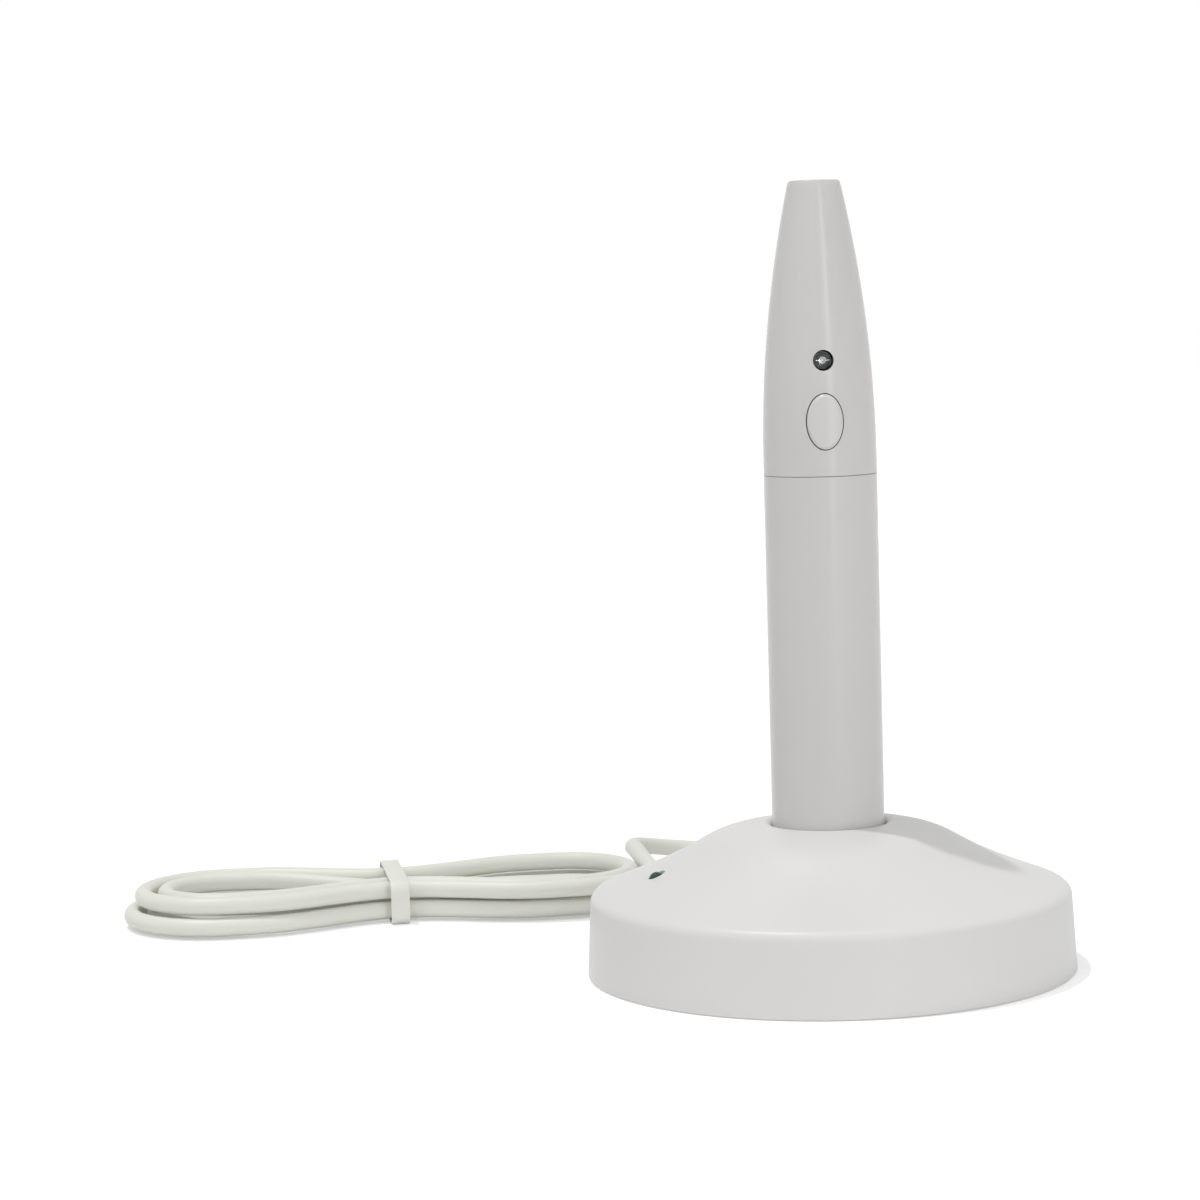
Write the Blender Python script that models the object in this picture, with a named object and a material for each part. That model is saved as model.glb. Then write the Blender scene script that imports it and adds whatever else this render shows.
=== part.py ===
# Cordless heated cutter for root-filling points, standing in its round charging base.
# Metres, +Z up, origin on the table under the centre of the base, button facing -Y.
import math
import bpy
import bmesh
from mathutils import Matrix, Vector
from mathutils.geometry import interpolate_bezier

for old in list(bpy.data.objects):
    bpy.data.objects.remove(old, do_unlink=True)

# Facets round the base and round the handpiece
BASE_STEPS = 48
BODY_STEPS = 34

# Fits, broken edges, how far joined shapes overlap and how far cutters run past
GAP = 0.0003
EDGE = 0.0004
ROOT = 0.001
OVER = 0.002
TOUCH = 0.0001
MERGE = 0.00001
CELL_CLEARANCE = 0.00035
SOCKET_CLEARANCE = 0.00035
BUTTON_CLEARANCE = 0.0003

# Battery cell and the barrel round it
CELL_DIAMETER = 0.0185
CELL_LENGTH = 0.065
CELL_NUB_RADIUS = 0.003
CELL_NUB_HEIGHT = 0.0012
CELL_EDGE = 0.0006
BARREL_WALL = 0.0014
BARREL_EDGE = 0.0007
TAIL_CAP_THICKNESS = 0.006
TAIL_SPRING_LENGTH = 0.0047
TAIL_SPRING_RADIUS = 0.0046
TAIL_SPRING_WIRE = 0.0009
TAIL_SPRING_TURNS = 3.5
TAIL_CONTACT_THICKNESS = 0.0008
CENTRE_CONTACT_RADIUS = 0.0024
CENTRE_STEM_RADIUS = 0.0009
RING_CONTACT_INNER = 0.0042
RING_CONTACT_WIDTH = 0.0022

# Screwed joint between the barrel and the front shell
PARTING_GAP = 0.0003
PARTING_EDGE = 0.0002
SPIGOT_LENGTH = 0.0076
SPIGOT_WALL = 0.0017
SPIGOT_EDGE = 0.0005
SPIGOT_ROOT = 0.0015
SEAL_SECTION = 0.001
SEAL_BAND = 0.0026
SEAL_STEP = 0.0004

# Front shell and what shows on it
NOSE_LENGTH = 0.0564
NOSE_STRAIGHT = 0.0023
NOSE_TIP_RADIUS = 0.005
NOSE_WALL = 0.0016
NOSE_EDGE = 0.0004
NOSE_HOLLOW = 0.008
TIP_BORE_RADIUS = 0.0037
TIP_BORE_DEPTH = 0.0082
TIP_STEP = 0.002
BUTTON_RISE = 0.0105
BUTTON_WIDTH = 0.007
BUTTON_HEIGHT = 0.0107
BUTTON_PROUD = 0.0004
BUTTON_LIP = 0.0008
BUTTON_LIP_THICKNESS = 0.0006
LAMP_RISE = 0.0223
LAMP_RADIUS = 0.00155
LAMP_LENGTH = 0.0058
LAMP_SINK = 0.0002
LAMP_DOME = 0.75
LAMP_WALL = 0.0005
LAMP_HOLLOW = 0.0026
LAMP_FLANGE = 0.0004
LAMP_FLANGE_HEIGHT = 0.001
FRAME_CUP = 0.0004
FRAME_RIM = 0.0012

# Inside the front shell
CONTACT_THICKNESS = 0.001
CONTACT_RADIUS = 0.004
STUD_RADIUS = 0.001
STUD_PROUD = 0.001
CARRIER_REACH = 0.0101
CARRIER_LENGTH = 0.037
CARRIER_WALL = 0.0014
CARRIER_FLOOR = 0.0017
CARRIER_OPEN = 0.0007
BOARD_THICKNESS = 0.0016
BOARD_OVERHANG = 0.003
BOARD_SIDE = 0.0002
SWITCH_SIZE = 0.006
STEM_RADIUS = 0.0017
STEM_PROUD = 0.0009
STEM_ROOT = 0.0009
BUTTON_TRAVEL = 0.0005
SOCKET_PITCH = 0.004
SLEEVE_RADIUS = 0.0008
SLEEVE_BORE = 0.0005
SLEEVE_TAIL = 0.0023
SLEEVE_END = 0.001
SLEEVE_COLLAR = 0.0005
SLEEVE_COLLAR_HEIGHT = 0.001
SOCKET_FLANGE = 0.0032
LEAD_WIRE = 0.001

# Charging base
BASE_RADIUS = 0.048
BASE_DRAFT = 0.0008
BASE_WALL = 0.0022
SKIRT_HEIGHT = 0.0165
RIM_ROUND = 0.0016
RIM_FALL = 0.372
BELL_HEIGHT = 0.0294
BELL_HUB_PULL = (0.5, 0.077)
BELL_RIM_PULL = (0.79, 0.294)
MOUTH_LIP = 0.0013
SLEEVE_WALL = 0.0016
SOCKET_FLOOR = 0.0016
FOOT_RADIUS = 0.0045
FOOT_STAND = 0.0008
FOOT_SEAT = 0.0012
FOOT_INSET = 0.0035
PLATE_THICKNESS = 0.0024
SCREW_INSET = 0.009
SCREW_RADIUS = 0.00125
SCREW_HEAD_RADIUS = 0.0027
SCREW_HEAD = 0.001
SCREW_LENGTH = 0.010
SCREW_POINT = 0.0015
SLOT_REACH = 0.0015
SLOT_WIDTH = 0.0006
SLOT_DEPTH = 0.0006
BOSS_WALL = 0.0015
BALLAST_INNER = 0.015
BALLAST_INSET = 0.0155
BALLAST_THICKNESS = 0.005
BLOCK_RIM = 0.0008
BLOCK_FLANGE = 0.0026
BLOCK_LIP = 0.002
BLOCK_SKIN = 0.0004
PIN_RADIUS = 0.0009
PIN_COLLAR = 0.0003
PIN_COLLAR_HEIGHT = 0.0007
PIN_STROKE = 0.001
PIN_PLAY = 0.0002
PIN_SLEEVE_WALL = 0.0004
PIN_SLEEVE_FLOOR = 0.0004
PIN_CRIMP = 0.0003
PIN_SPRING_WIRE = 0.0003
PIN_SPRING_TURNS = 2.5
PIN_SPRING_SHUT = 0.0006
POST_HEIGHT = 0.006
POST_RADIUS = 0.002
POST_INSET = 0.003
PEG_RADIUS = 0.0009
CHARGE_BOARD_PAST_LAMP = 0.00515
CHARGE_BOARD_WIDTH = 0.020
CHARGE_BOARD_SPACE = 0.0035
BASE_LAMP_RADIUS = 0.0015
BASE_LAMP_INSET = 0.0132
BASE_LAMP_PROUD = 0.0005
BASE_LAMP_ANGLE = 189.3
BASE_LAMP_LENGTH = 0.007
LEG_SPACING = 0.0017
LEG_SIZE = 0.0005

# Lead, its hank and the plug
CORD_DIAMETER = 0.0038
EXIT_HEIGHT = 0.0085
RELIEF_LENGTH = 0.014
RELIEF_NECK = 0.003
RELIEF_LIP = 0.0015
RELIEF_LIP_THICKNESS = 0.0012
RELIEF_COLLAR = 0.0011
RELIEF_COLLAR_LENGTH = 0.0014
RELIEF_RIBS = 3
RIB_DEPTH = 0.0005
RIB_GROOVE = 0.35
HANK_ASIDE = 0.0393
HANK_BEHIND = 0.0279
HANK_ANGLE = 5.8
HANK_RUN = 0.074
HANK_INNER = 0.012
HANK_DRAW = 0.009
HANK_WAIST = 0.84
RUN_STEPS = 6
ARC_STEPS = 8
HANK_SPACE = 0.00105
LAYER_SPACE = 0.0005
HANK_TURNS = 2.0
HANK_LEAVES = 3.875
HANK_END = 0.005
TIE_WIDTH = 0.004
TIE_THICKNESS = 0.0004
TIE_CORNER = 0.002
PLUG_X = -0.010
PLUG_BEHIND = 0.072
PLUG_ANGLE = -8.0
PLUG_LENGTH = 0.022
PLUG_WIDTH = 0.0146
PLUG_HEIGHT = 0.0074
PLUG_EDGE = 0.0012
PLUG_NECK = 0.008
PLUG_NECK_RADIUS = 0.0031
PLUG_SHELL_LENGTH = 0.012
PLUG_SHELL_WIDTH = 0.012
PLUG_SHELL_HEIGHT = 0.0045
PLUG_SHELL_WALL = 0.0004
PLUG_SHELL_FLOOR = 0.001
WINDOW_SPACING = 0.006
WINDOW_SIZE = 0.0024
WINDOW_BACK = 0.0065
PLUG_SEAT = 0.002
TONGUE_THICKNESS = 0.0018
TONGUE_SHORT = 0.0005

# Routes chosen by hand, from one end (0) to the other (1): sideways, back, and height
LEAD_ROUTE = [(0.010, 0.150, 0.894), (0.037, 0.299, 0.652), (0.081, 0.446, 0.348), (0.139, 0.588, 0.106),
              (0.207, 0.727, 0.000), (0.311, 0.846, 0.015), (0.464, 0.932, 0.030), (0.642, 0.983, 0.070),
              (0.826, 1.006, 0.095)]
TAIL_ROUTE = [(-0.021, 0.126, 1.000), (-0.040, 0.253, 1.031), (-0.059, 0.380, 1.094),
              (-0.078, 0.504, 1.125), (-0.098, 0.631, 1.110), (-0.054, 0.755, 1.000),
              (0.106, 0.867, 0.719), (0.351, 0.955, 0.406), (0.656, 1.003, 0.125)]

# Heights and radii that follow from the sizes above
cell_radius = CELL_DIAMETER / 2
bore_radius = cell_radius + CELL_CLEARANCE
barrel_radius = bore_radius + BARREL_WALL
plate_top = FOOT_STAND + PLATE_THICKNESS
block_bottom = plate_top + GAP
floor_bottom = block_bottom + BLOCK_FLANGE + GAP
floor_top = floor_bottom + SOCKET_FLOOR
tail_z = floor_top + GAP
cap_top = tail_z + TAIL_CAP_THICKNESS
cell_z = cap_top + GAP + TAIL_SPRING_LENGTH + GAP
nub_top = cell_z + CELL_LENGTH + CELL_NUB_HEIGHT
contact_z = nub_top + GAP
carrier_z = contact_z + CONTACT_THICKNESS + GAP
barrel_top = carrier_z + CARRIER_REACH
shoulder_z = barrel_top + PARTING_GAP
nose_top = shoulder_z + NOSE_LENGTH
spigot_radius = bore_radius - GAP
spigot_bore = spigot_radius - SPIGOT_WALL
tip_seat = nose_top - TIP_BORE_DEPTH
step_z = tip_seat - TIP_STEP
button_z = shoulder_z + BUTTON_RISE
lamp_z = shoulder_z + LAMP_RISE
carrier_radius = spigot_bore - GAP
carrier_cut = -CARRIER_OPEN
board_back = carrier_cut - GAP
board_front = board_back - BOARD_THICKNESS
socket_bore = barrel_radius + SOCKET_CLEARANCE
sleeve_outer = socket_bore + SLEEVE_WALL
rim_radius = BASE_RADIUS - BASE_DRAFT
rim_start = rim_radius - RIM_ROUND
hub_radius = socket_bore + MOUTH_LIP
plate_radius = BASE_RADIUS - BASE_WALL - GAP
sleeve_bore = PIN_RADIUS + PIN_COLLAR + PIN_PLAY
pin_sleeve_radius = sleeve_bore + PIN_SLEEVE_WALL
ring_middle = RING_CONTACT_INNER + RING_CONTACT_WIDTH / 2
block_radius = ring_middle + pin_sleeve_radius + GAP + BLOCK_RIM
hank_step = CORD_DIAMETER + HANK_SPACE
layer_step = CORD_DIAMETER + LAYER_SPACE
lamp_circle = BASE_RADIUS - BASE_LAMP_INSET
ballast_outer = plate_radius - BALLAST_INSET
hank_middle = Vector((-BASE_RADIUS - HANK_ASIDE, BASE_RADIUS + HANK_BEHIND, 0))


def finish(name, rgb, rough, metal=0.0):
    material = bpy.data.materials.new(name)
    material.use_nodes = True
    shader = material.node_tree.nodes["Principled BSDF"]
    shader.inputs["Base Color"].default_value = (rgb[0], rgb[1], rgb[2], 1.0)
    shader.inputs["Roughness"].default_value = rough
    shader.inputs["Metallic"].default_value = metal
    return material


SHELL = finish("shell_plastic", (0.72, 0.72, 0.73), 0.38)
BASE_WHITE = finish("base_plastic", (0.80, 0.80, 0.80), 0.35)
BUTTON_WHITE = finish("button_plastic", (0.76, 0.76, 0.77), 0.34)
DARK = finish("dark_plastic", (0.03, 0.03, 0.035), 0.45)
NATURAL = finish("natural_plastic", (0.55, 0.54, 0.50), 0.5)
RUBBER = finish("foot_rubber", (0.05, 0.05, 0.05), 0.8)
SEAL_RED = finish("seal_rubber", (0.35, 0.06, 0.04), 0.6)
STEEL = finish("zinc_steel", (0.62, 0.63, 0.65), 0.35, 1.0)
GOLD = finish("gold_plate", (0.83, 0.62, 0.26), 0.25, 1.0)
NICKEL = finish("nickel_plate", (0.66, 0.64, 0.60), 0.25, 1.0)
BOARD = finish("board_laminate", (0.03, 0.20, 0.08), 0.45)
CELL = finish("cell_sleeve", (0.09, 0.22, 0.52), 0.35)
CLEAR = finish("lamp_clear", (0.80, 0.82, 0.84), 0.08)
GREEN = finish("lamp_green", (0.10, 0.55, 0.16), 0.15)
CORD = finish("cord_jacket", (0.74, 0.74, 0.70), 0.5)


def add_object(name, mesh, material, place=(0, 0, 0), turn=(0, 0, 0)):
    item = bpy.data.objects.new(name, mesh)
    item.location = place
    item.rotation_euler = turn
    bpy.context.scene.collection.objects.link(item)
    if material:
        mesh.materials.append(material)
    return item


def as_cutter(item):
    item.hide_render = True
    item.display_type = "WIRE"
    return item


def lathe(name, profile, steps, material, place=(0, 0, 0), turn=(0, 0, 0)):
    # Spins a profile of (radius, height) round local Z; ends on the axis when it starts there.
    solid = profile[0][0] == 0.0
    area = 0.0
    for (r0, z0), (r1, z1) in zip(profile, profile[1:] + profile[:1]):
        area += r0 * z1 - r1 * z0
    points = profile if area < 0 else profile[::-1]
    mesh = bpy.data.meshes.new(name)
    count = len(points)
    edges = [(i, i + 1) for i in range(count - 1)]
    if not solid:
        edges.append((count - 1, 0))
    mesh.from_pydata([(r, 0.0, z) for r, z in points], edges, [])
    item = add_object(name, mesh, material, place, turn)
    screw = item.modifiers.new("spin", "SCREW")
    screw.axis = "Z"
    screw.angle = 2 * math.pi
    screw.steps = steps
    screw.render_steps = steps
    screw.use_merge_vertices = True
    screw.merge_threshold = MERGE
    return item


def cut(item, tool, operation="DIFFERENCE"):
    step = item.modifiers.new(operation.lower(), "BOOLEAN")
    step.operation = operation
    step.solver = "EXACT"
    step.object = as_cutter(tool)
    return item


def add_post(shape, x, y, low, high, radius, sides=20, along="Z"):
    # One closed cylinder in a bmesh, standing along Z or lying along Y.
    length = high - low
    turn = Matrix.Identity(4)
    middle = Vector((x, y, (low + high) / 2))
    if along == "Y":
        turn = Matrix.Rotation(math.pi / 2, 4, "X")
        middle = Vector((x, (low + high) / 2, y))
    bmesh.ops.create_cone(shape, cap_ends=True, cap_tris=False, segments=sides, radius1=radius,
                          radius2=radius, depth=length, matrix=Matrix.Translation(middle) @ turn)


def add_oval(shape, width, height, near, far, centre_z, sides=32):
    # An upright oval bar lying along Y, for the button and its opening.
    spots = []
    for i in range(sides):
        angle = 2 * math.pi * i / sides
        spots.append((width / 2 * math.cos(angle), centre_z + height / 2 * math.sin(angle)))
    front = [shape.verts.new((x, near, z)) for x, z in spots]
    back = [shape.verts.new((x, far, z)) for x, z in spots]
    shape.faces.new(front)
    shape.faces.new(back[::-1])
    for i in range(sides):
        j = (i + 1) % sides
        shape.faces.new((front[j], front[i], back[i], back[j]))


def add_block(shape, low, high):
    size = [h - l for l, h in zip(low, high)]
    middle = [(l + h) / 2 for l, h in zip(low, high)]
    fit = Matrix.Translation(middle) @ Matrix.Diagonal((size[0], size[1], size[2], 1))
    bmesh.ops.create_cube(shape, size=1.0, matrix=fit)


def solid_from(name, shape, material, place=(0, 0, 0), turn=(0, 0, 0)):
    bmesh.ops.recalc_face_normals(shape, faces=shape.faces)
    mesh = bpy.data.meshes.new(name)
    shape.to_mesh(mesh)
    shape.free()
    return add_object(name, mesh, material, place, turn)


def bevel(item, width, segments=2, angle=40):
    step = item.modifiers.new("bevel", "BEVEL")
    step.width = width
    step.segments = segments
    step.limit_method = "ANGLE"
    step.angle_limit = math.radians(angle)
    return item


def tube(name, points, diameter, material, resolution=2, place=(0, 0, 0)):
    curve = bpy.data.curves.new(name, "CURVE")
    curve.dimensions = "3D"
    curve.bevel_depth = diameter / 2
    curve.bevel_resolution = resolution
    curve.use_fill_caps = True
    spline = curve.splines.new("POLY")
    spline.points.add(len(points) - 1)
    for spot, point in zip(points, spline.points):
        point.co = (spot[0], spot[1], spot[2], 1.0)
    return add_object(name, curve, material, place)


def spring(name, radius, wire, low, high, turns, material, per_turn=12, place=(0, 0, 0)):
    points = []
    count = int(turns * per_turn)
    for i in range(count + 1):
        angle = 2 * math.pi * i / per_turn
        rise = low + wire / 2 + (high - low - wire) * i / count
        points.append((radius * math.cos(angle), radius * math.sin(angle), rise))
    return tube(name, points, wire, material, 1, place)


def ring_spots(radius, count, start):
    spots = []
    for i in range(count):
        angle = math.radians(start) + 2 * math.pi * i / count
        spots.append((radius * math.cos(angle), radius * math.sin(angle)))
    return spots


# Bell of the base: one curve from the mouth out to the rim
span = rim_start - hub_radius
hub = Vector((hub_radius, 0, BELL_HEIGHT))
rim = Vector((rim_start, 0, SKIRT_HEIGHT))
hub_pull = Vector((BELL_HUB_PULL[0], 0, -BELL_HUB_PULL[1])) * span
rim_pull = Vector((-BELL_RIM_PULL[0], 0, BELL_RIM_PULL[1])) * span
bell_curve = interpolate_bezier(hub, hub + hub_pull, rim + rim_pull, rim, 60)


def bell_z(radius):
    if radius <= bell_curve[0].x:
        return bell_curve[0].z
    for a, b in zip(bell_curve, bell_curve[1:]):
        if a.x <= radius <= b.x:
            return a.z + (b.z - a.z) * (radius - a.x) / (b.x - a.x)
    return bell_curve[-1].z


def spread(first, last, count):
    return [first + (last - first) * i / (count - 1) for i in range(count)]


# Base housing: bell, skirt and the socket sleeve in one moulding
outline = []
for i in range(3):
    angle = math.pi / 2 * i / 2
    reach = MOUTH_LIP * math.cos(angle)
    outline.append((hub_radius - reach, BELL_HEIGHT - MOUTH_LIP * (1 - math.sin(angle))))
outline += [(r, bell_z(r)) for r in spread(hub_radius, rim_start, 9)[1:]]
corner_z = SKIRT_HEIGHT - RIM_FALL * RIM_ROUND
for t in (0.3, 0.65, 1.0):
    r = (1 - t) ** 2 * rim_start + 2 * t * (1 - t) * rim_radius + t * t * rim_radius
    z = (1 - t) ** 2 * SKIRT_HEIGHT + 2 * t * (1 - t) * corner_z + t * t * (corner_z - RIM_ROUND)
    outline.append((r, z))
outline.append((BASE_RADIUS, FOOT_STAND))
inner_rim = rim_radius - BASE_WALL
outline.append((BASE_RADIUS - BASE_WALL, FOOT_STAND))
outline += [(r, bell_z(r) - BASE_WALL) for r in spread(inner_rim, sleeve_outer, 5)]
block_hole = block_radius + GAP
outline += [(sleeve_outer, floor_bottom), (block_hole, floor_bottom), (block_hole, floor_top),
            (socket_bore, floor_top)]
base_housing = lathe("base_housing", outline, BASE_STEPS, BASE_WHITE)

lamp_angle = math.radians(BASE_LAMP_ANGLE)
base_lamp_x = lamp_circle * math.cos(lamp_angle)
base_lamp_y = lamp_circle * math.sin(lamp_angle)
screw_spots = ring_spots(plate_radius - SCREW_INSET, 4, 45)
foot_spots = ring_spots(plate_radius - FOOT_RADIUS - FOOT_INSET, 4, 0)
boss_hole = SCREW_RADIUS + GAP
boss_bottom = plate_top + GAP

shape = bmesh.new()
for x, y in screw_spots:
    add_post(shape, x, y, boss_bottom, BELL_HEIGHT, boss_hole + BOSS_WALL)
bosses = solid_from("boss_posts", shape, None)
under = [(0.0, BELL_HEIGHT - BASE_WALL / 2)]
under += [(r, bell_z(r) - BASE_WALL / 2) for r in spread(hub_radius, rim_start, 9)]
under += [(rim_start, 0.0), (0.0, 0.0)]
cut(bosses, lathe("under_bell", under, BASE_STEPS, None), "INTERSECT")
cut(base_housing, bosses, "UNION")

shape = bmesh.new()
for x, y in screw_spots:
    add_post(shape, x, y, 0.0, FOOT_STAND + SCREW_HEAD + SCREW_LENGTH + GAP, boss_hole)
add_post(shape, base_lamp_x, base_lamp_y, SKIRT_HEIGHT - BASE_WALL - OVER, BELL_HEIGHT,
         BASE_LAMP_RADIUS + GAP)
add_post(shape, 0.0, EXIT_HEIGHT, BASE_RADIUS - BASE_WALL - 2 * OVER, BASE_RADIUS + 2 * OVER,
         RELIEF_NECK + GAP, 24, "Y")
cut(base_housing, solid_from("housing_holes", shape, None))

# Floor plate with seats for feet and screws, and two posts for the board
side = [(0.0, plate_top), (plate_radius, plate_top), (plate_radius, FOOT_STAND), (0.0, FOOT_STAND)]
base_plate = lathe("base_plate", side, BASE_STEPS, BASE_WHITE)
board_start = -(sleeve_outer + CHARGE_BOARD_SPACE)
board_end = -(lamp_circle + CHARGE_BOARD_PAST_LAMP)
post_x = board_end + POST_INSET
post_ys = (CHARGE_BOARD_WIDTH / 2 - POST_INSET, POST_INSET - CHARGE_BOARD_WIDTH / 2)
board_z = plate_top + POST_HEIGHT + GAP
board_top = board_z + BOARD_THICKNESS
shape = bmesh.new()
for y in post_ys:
    add_post(shape, post_x, y, plate_top - ROOT, plate_top + POST_HEIGHT, POST_RADIUS, 16)
posts = solid_from("board_posts", shape, None)
shape = bmesh.new()
for y in post_ys:
    add_post(shape, post_x, y, plate_top + POST_HEIGHT - ROOT, board_top + GAP, PEG_RADIUS, 12)
cut(posts, solid_from("board_pegs", shape, None), "UNION")
cut(base_plate, posts, "UNION")
head_seat = FOOT_STAND + SCREW_HEAD + GAP
shape = bmesh.new()
for x, y in screw_spots:
    add_post(shape, x, y, -OVER, head_seat, SCREW_HEAD_RADIUS + GAP)
for x, y in foot_spots:
    add_post(shape, x, y, -OVER, FOOT_STAND + FOOT_SEAT, FOOT_RADIUS + GAP, 24)
cut(base_plate, solid_from("plate_seats", shape, None))
shape = bmesh.new()
for x, y in screw_spots:
    add_post(shape, x, y, -OVER, plate_top + OVER, boss_hole)
cut(base_plate, solid_from("plate_holes", shape, None))

foot_top = FOOT_STAND + FOOT_SEAT - GAP
for number, (x, y) in enumerate(foot_spots, 1):
    side = [(0.0, foot_top), (FOOT_RADIUS, foot_top), (FOOT_RADIUS, EDGE),
            (FOOT_RADIUS - EDGE, 0.0), (0.0, 0.0)]
    lathe("base_foot_%d" % number, side, 24, RUBBER, (x, y, 0))

head_low = head_seat - GAP - SCREW_HEAD
for number, (x, y) in enumerate(screw_spots, 1):
    tip = head_seat - GAP + SCREW_LENGTH
    side = [(0.0, tip), (SCREW_RADIUS - 2 * EDGE, tip), (SCREW_RADIUS, tip - SCREW_POINT),
            (SCREW_RADIUS, head_low + SCREW_HEAD), (SCREW_HEAD_RADIUS, head_low + SCREW_HEAD),
            (SCREW_HEAD_RADIUS, head_low + EDGE), (SCREW_HEAD_RADIUS - EDGE, head_low), (0.0, head_low)]
    screw = lathe("base_screw_%d" % number, side, 16, STEEL, (x, y, 0))
    half = SLOT_WIDTH / 2
    shape = bmesh.new()
    add_block(shape, (-SLOT_REACH, -half, head_low - OVER), (SLOT_REACH, half, head_low + SLOT_DEPTH))
    cut(screw, solid_from("screw_slot_%d" % number, shape, None, (x, y, 0)))
    shape = bmesh.new()
    add_block(shape, (-half, -SLOT_REACH, head_low - OVER - TOUCH),
              (half, SLOT_REACH, head_low + SLOT_DEPTH - TOUCH))
    cut(screw, solid_from("screw_cross_%d" % number, shape, None, (x, y, 0)))

ballast_z = plate_top + GAP
lathe("base_ballast", [(BALLAST_INNER, ballast_z), (BALLAST_INNER, ballast_z + BALLAST_THICKNESS),
                       (ballast_outer, ballast_z + BALLAST_THICKNESS), (ballast_outer, ballast_z)], 40,
      STEEL)

# Charging board on its posts, and the green lamp standing on it
shape = bmesh.new()
half = CHARGE_BOARD_WIDTH / 2
add_block(shape, (board_end, -half, board_z), (board_start, half, board_top))
charge_board = solid_from("charge_board", shape, BOARD)
shape = bmesh.new()
for y in post_ys:
    add_post(shape, post_x, y, board_z - OVER, board_top + OVER, PEG_RADIUS + GAP, 12)
cut(charge_board, solid_from("charge_board_holes", shape, None))

lamp_tip = bell_z(lamp_circle) + BASE_LAMP_PROUD
lamp_base = lamp_tip - BASE_LAMP_LENGTH
side = [(0.0, lamp_tip)]
for i in range(1, 5):
    angle = math.pi / 2 * i / 4
    side.append((BASE_LAMP_RADIUS * math.sin(angle),
                 lamp_tip - BASE_LAMP_RADIUS * (1 - math.cos(angle))))
flange_radius = BASE_LAMP_RADIUS + LAMP_FLANGE
side += [(BASE_LAMP_RADIUS, lamp_base + LAMP_FLANGE_HEIGHT),
         (flange_radius, lamp_base + LAMP_FLANGE_HEIGHT), (flange_radius, lamp_base), (0.0, lamp_base)]
charge_lamp = lathe("charge_lamp", side, 24, GREEN, (base_lamp_x, base_lamp_y, 0))
shape = bmesh.new()
half = LEG_SIZE / 2
for x in (-LEG_SPACING / 2, LEG_SPACING / 2):
    add_block(shape, (x - half, -half, board_top + GAP), (x + half, half, lamp_base + ROOT / 2))
cut(charge_lamp, solid_from("charge_lamp_legs", shape, None, (base_lamp_x, base_lamp_y, 0)), "UNION")

# Contact block in the socket floor, with two sprung pins
block_top = floor_top - GAP
pin_spots = (("centre", 0.0), ("ring", ring_middle))
flange_radius = block_radius + BLOCK_LIP
contact_block = lathe("contact_block", [(0.0, block_top), (block_radius, block_top),
                                        (block_radius, block_bottom + BLOCK_FLANGE),
                                        (flange_radius, block_bottom + BLOCK_FLANGE),
                                        (flange_radius, block_bottom), (0.0, block_bottom)], 36, DARK)
shape = bmesh.new()
for label, y in pin_spots:
    add_post(shape, 0.0, y, block_bottom + BLOCK_SKIN, block_top + OVER, pin_sleeve_radius + GAP)
cut(contact_block, solid_from("block_bores", shape, None))
sleeve_z = block_bottom + BLOCK_SKIN + GAP
sleeve_floor = sleeve_z + PIN_SLEEVE_FLOOR
pin_top = tail_z - GAP
collar_z = sleeve_floor + GAP + PIN_STROKE + PIN_SPRING_SHUT
collar_top = collar_z + PIN_COLLAR_HEIGHT
for label, y in pin_spots:
    lathe("pin_sleeve_" + label, [(0.0, sleeve_floor), (sleeve_bore, sleeve_floor),
                                  (sleeve_bore, block_top - PIN_CRIMP),
                                  (PIN_RADIUS + PIN_PLAY, block_top - PIN_CRIMP),
                                  (PIN_RADIUS + PIN_PLAY, block_top), (pin_sleeve_radius, block_top),
                                  (pin_sleeve_radius, sleeve_z), (0.0, sleeve_z)], 20, GOLD, (0, y, 0))
    lathe("charge_pin_" + label, [(0.0, pin_top), (PIN_RADIUS - EDGE, pin_top),
                                  (PIN_RADIUS, pin_top - EDGE), (PIN_RADIUS, collar_top),
                                  (PIN_RADIUS + PIN_COLLAR, collar_top),
                                  (PIN_RADIUS + PIN_COLLAR, collar_z), (0.0, collar_z)], 20, GOLD,
          (0, y, 0))
    spring("pin_spring_" + label, PIN_RADIUS - PIN_SPRING_WIRE / 2, PIN_SPRING_WIRE,
           sleeve_floor + TOUCH, collar_z - TOUCH, PIN_SPRING_TURNS, STEEL, 9, (0, y, 0))

# Rear barrel, its cap and contacts
lathe("rear_barrel", [(bore_radius, tail_z), (barrel_radius - BARREL_EDGE, tail_z),
                      (barrel_radius, tail_z + BARREL_EDGE), (barrel_radius, barrel_top - PARTING_EDGE),
                      (barrel_radius - PARTING_EDGE, barrel_top), (bore_radius + SEAL_STEP, barrel_top),
                      (bore_radius + SEAL_STEP, barrel_top - SEAL_BAND),
                      (bore_radius, barrel_top - SEAL_BAND - SEAL_STEP)], BODY_STEPS, SHELL)
cap_radius = bore_radius - GAP
pocket_top = tail_z + TAIL_CONTACT_THICKNESS + GAP
ring_outer = RING_CONTACT_INNER + RING_CONTACT_WIDTH
lathe("tail_cap", [(CENTRE_STEM_RADIUS + GAP, cap_top), (cap_radius, cap_top), (cap_radius, tail_z),
                   (ring_outer + GAP, tail_z), (ring_outer + GAP, pocket_top),
                   (RING_CONTACT_INNER - GAP, pocket_top), (RING_CONTACT_INNER - GAP, tail_z),
                   (CENTRE_CONTACT_RADIUS + GAP, tail_z), (CENTRE_CONTACT_RADIUS + GAP, pocket_top),
                   (CENTRE_STEM_RADIUS + GAP, pocket_top)], 28, SHELL)
contact_top = tail_z + TAIL_CONTACT_THICKNESS
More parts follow.
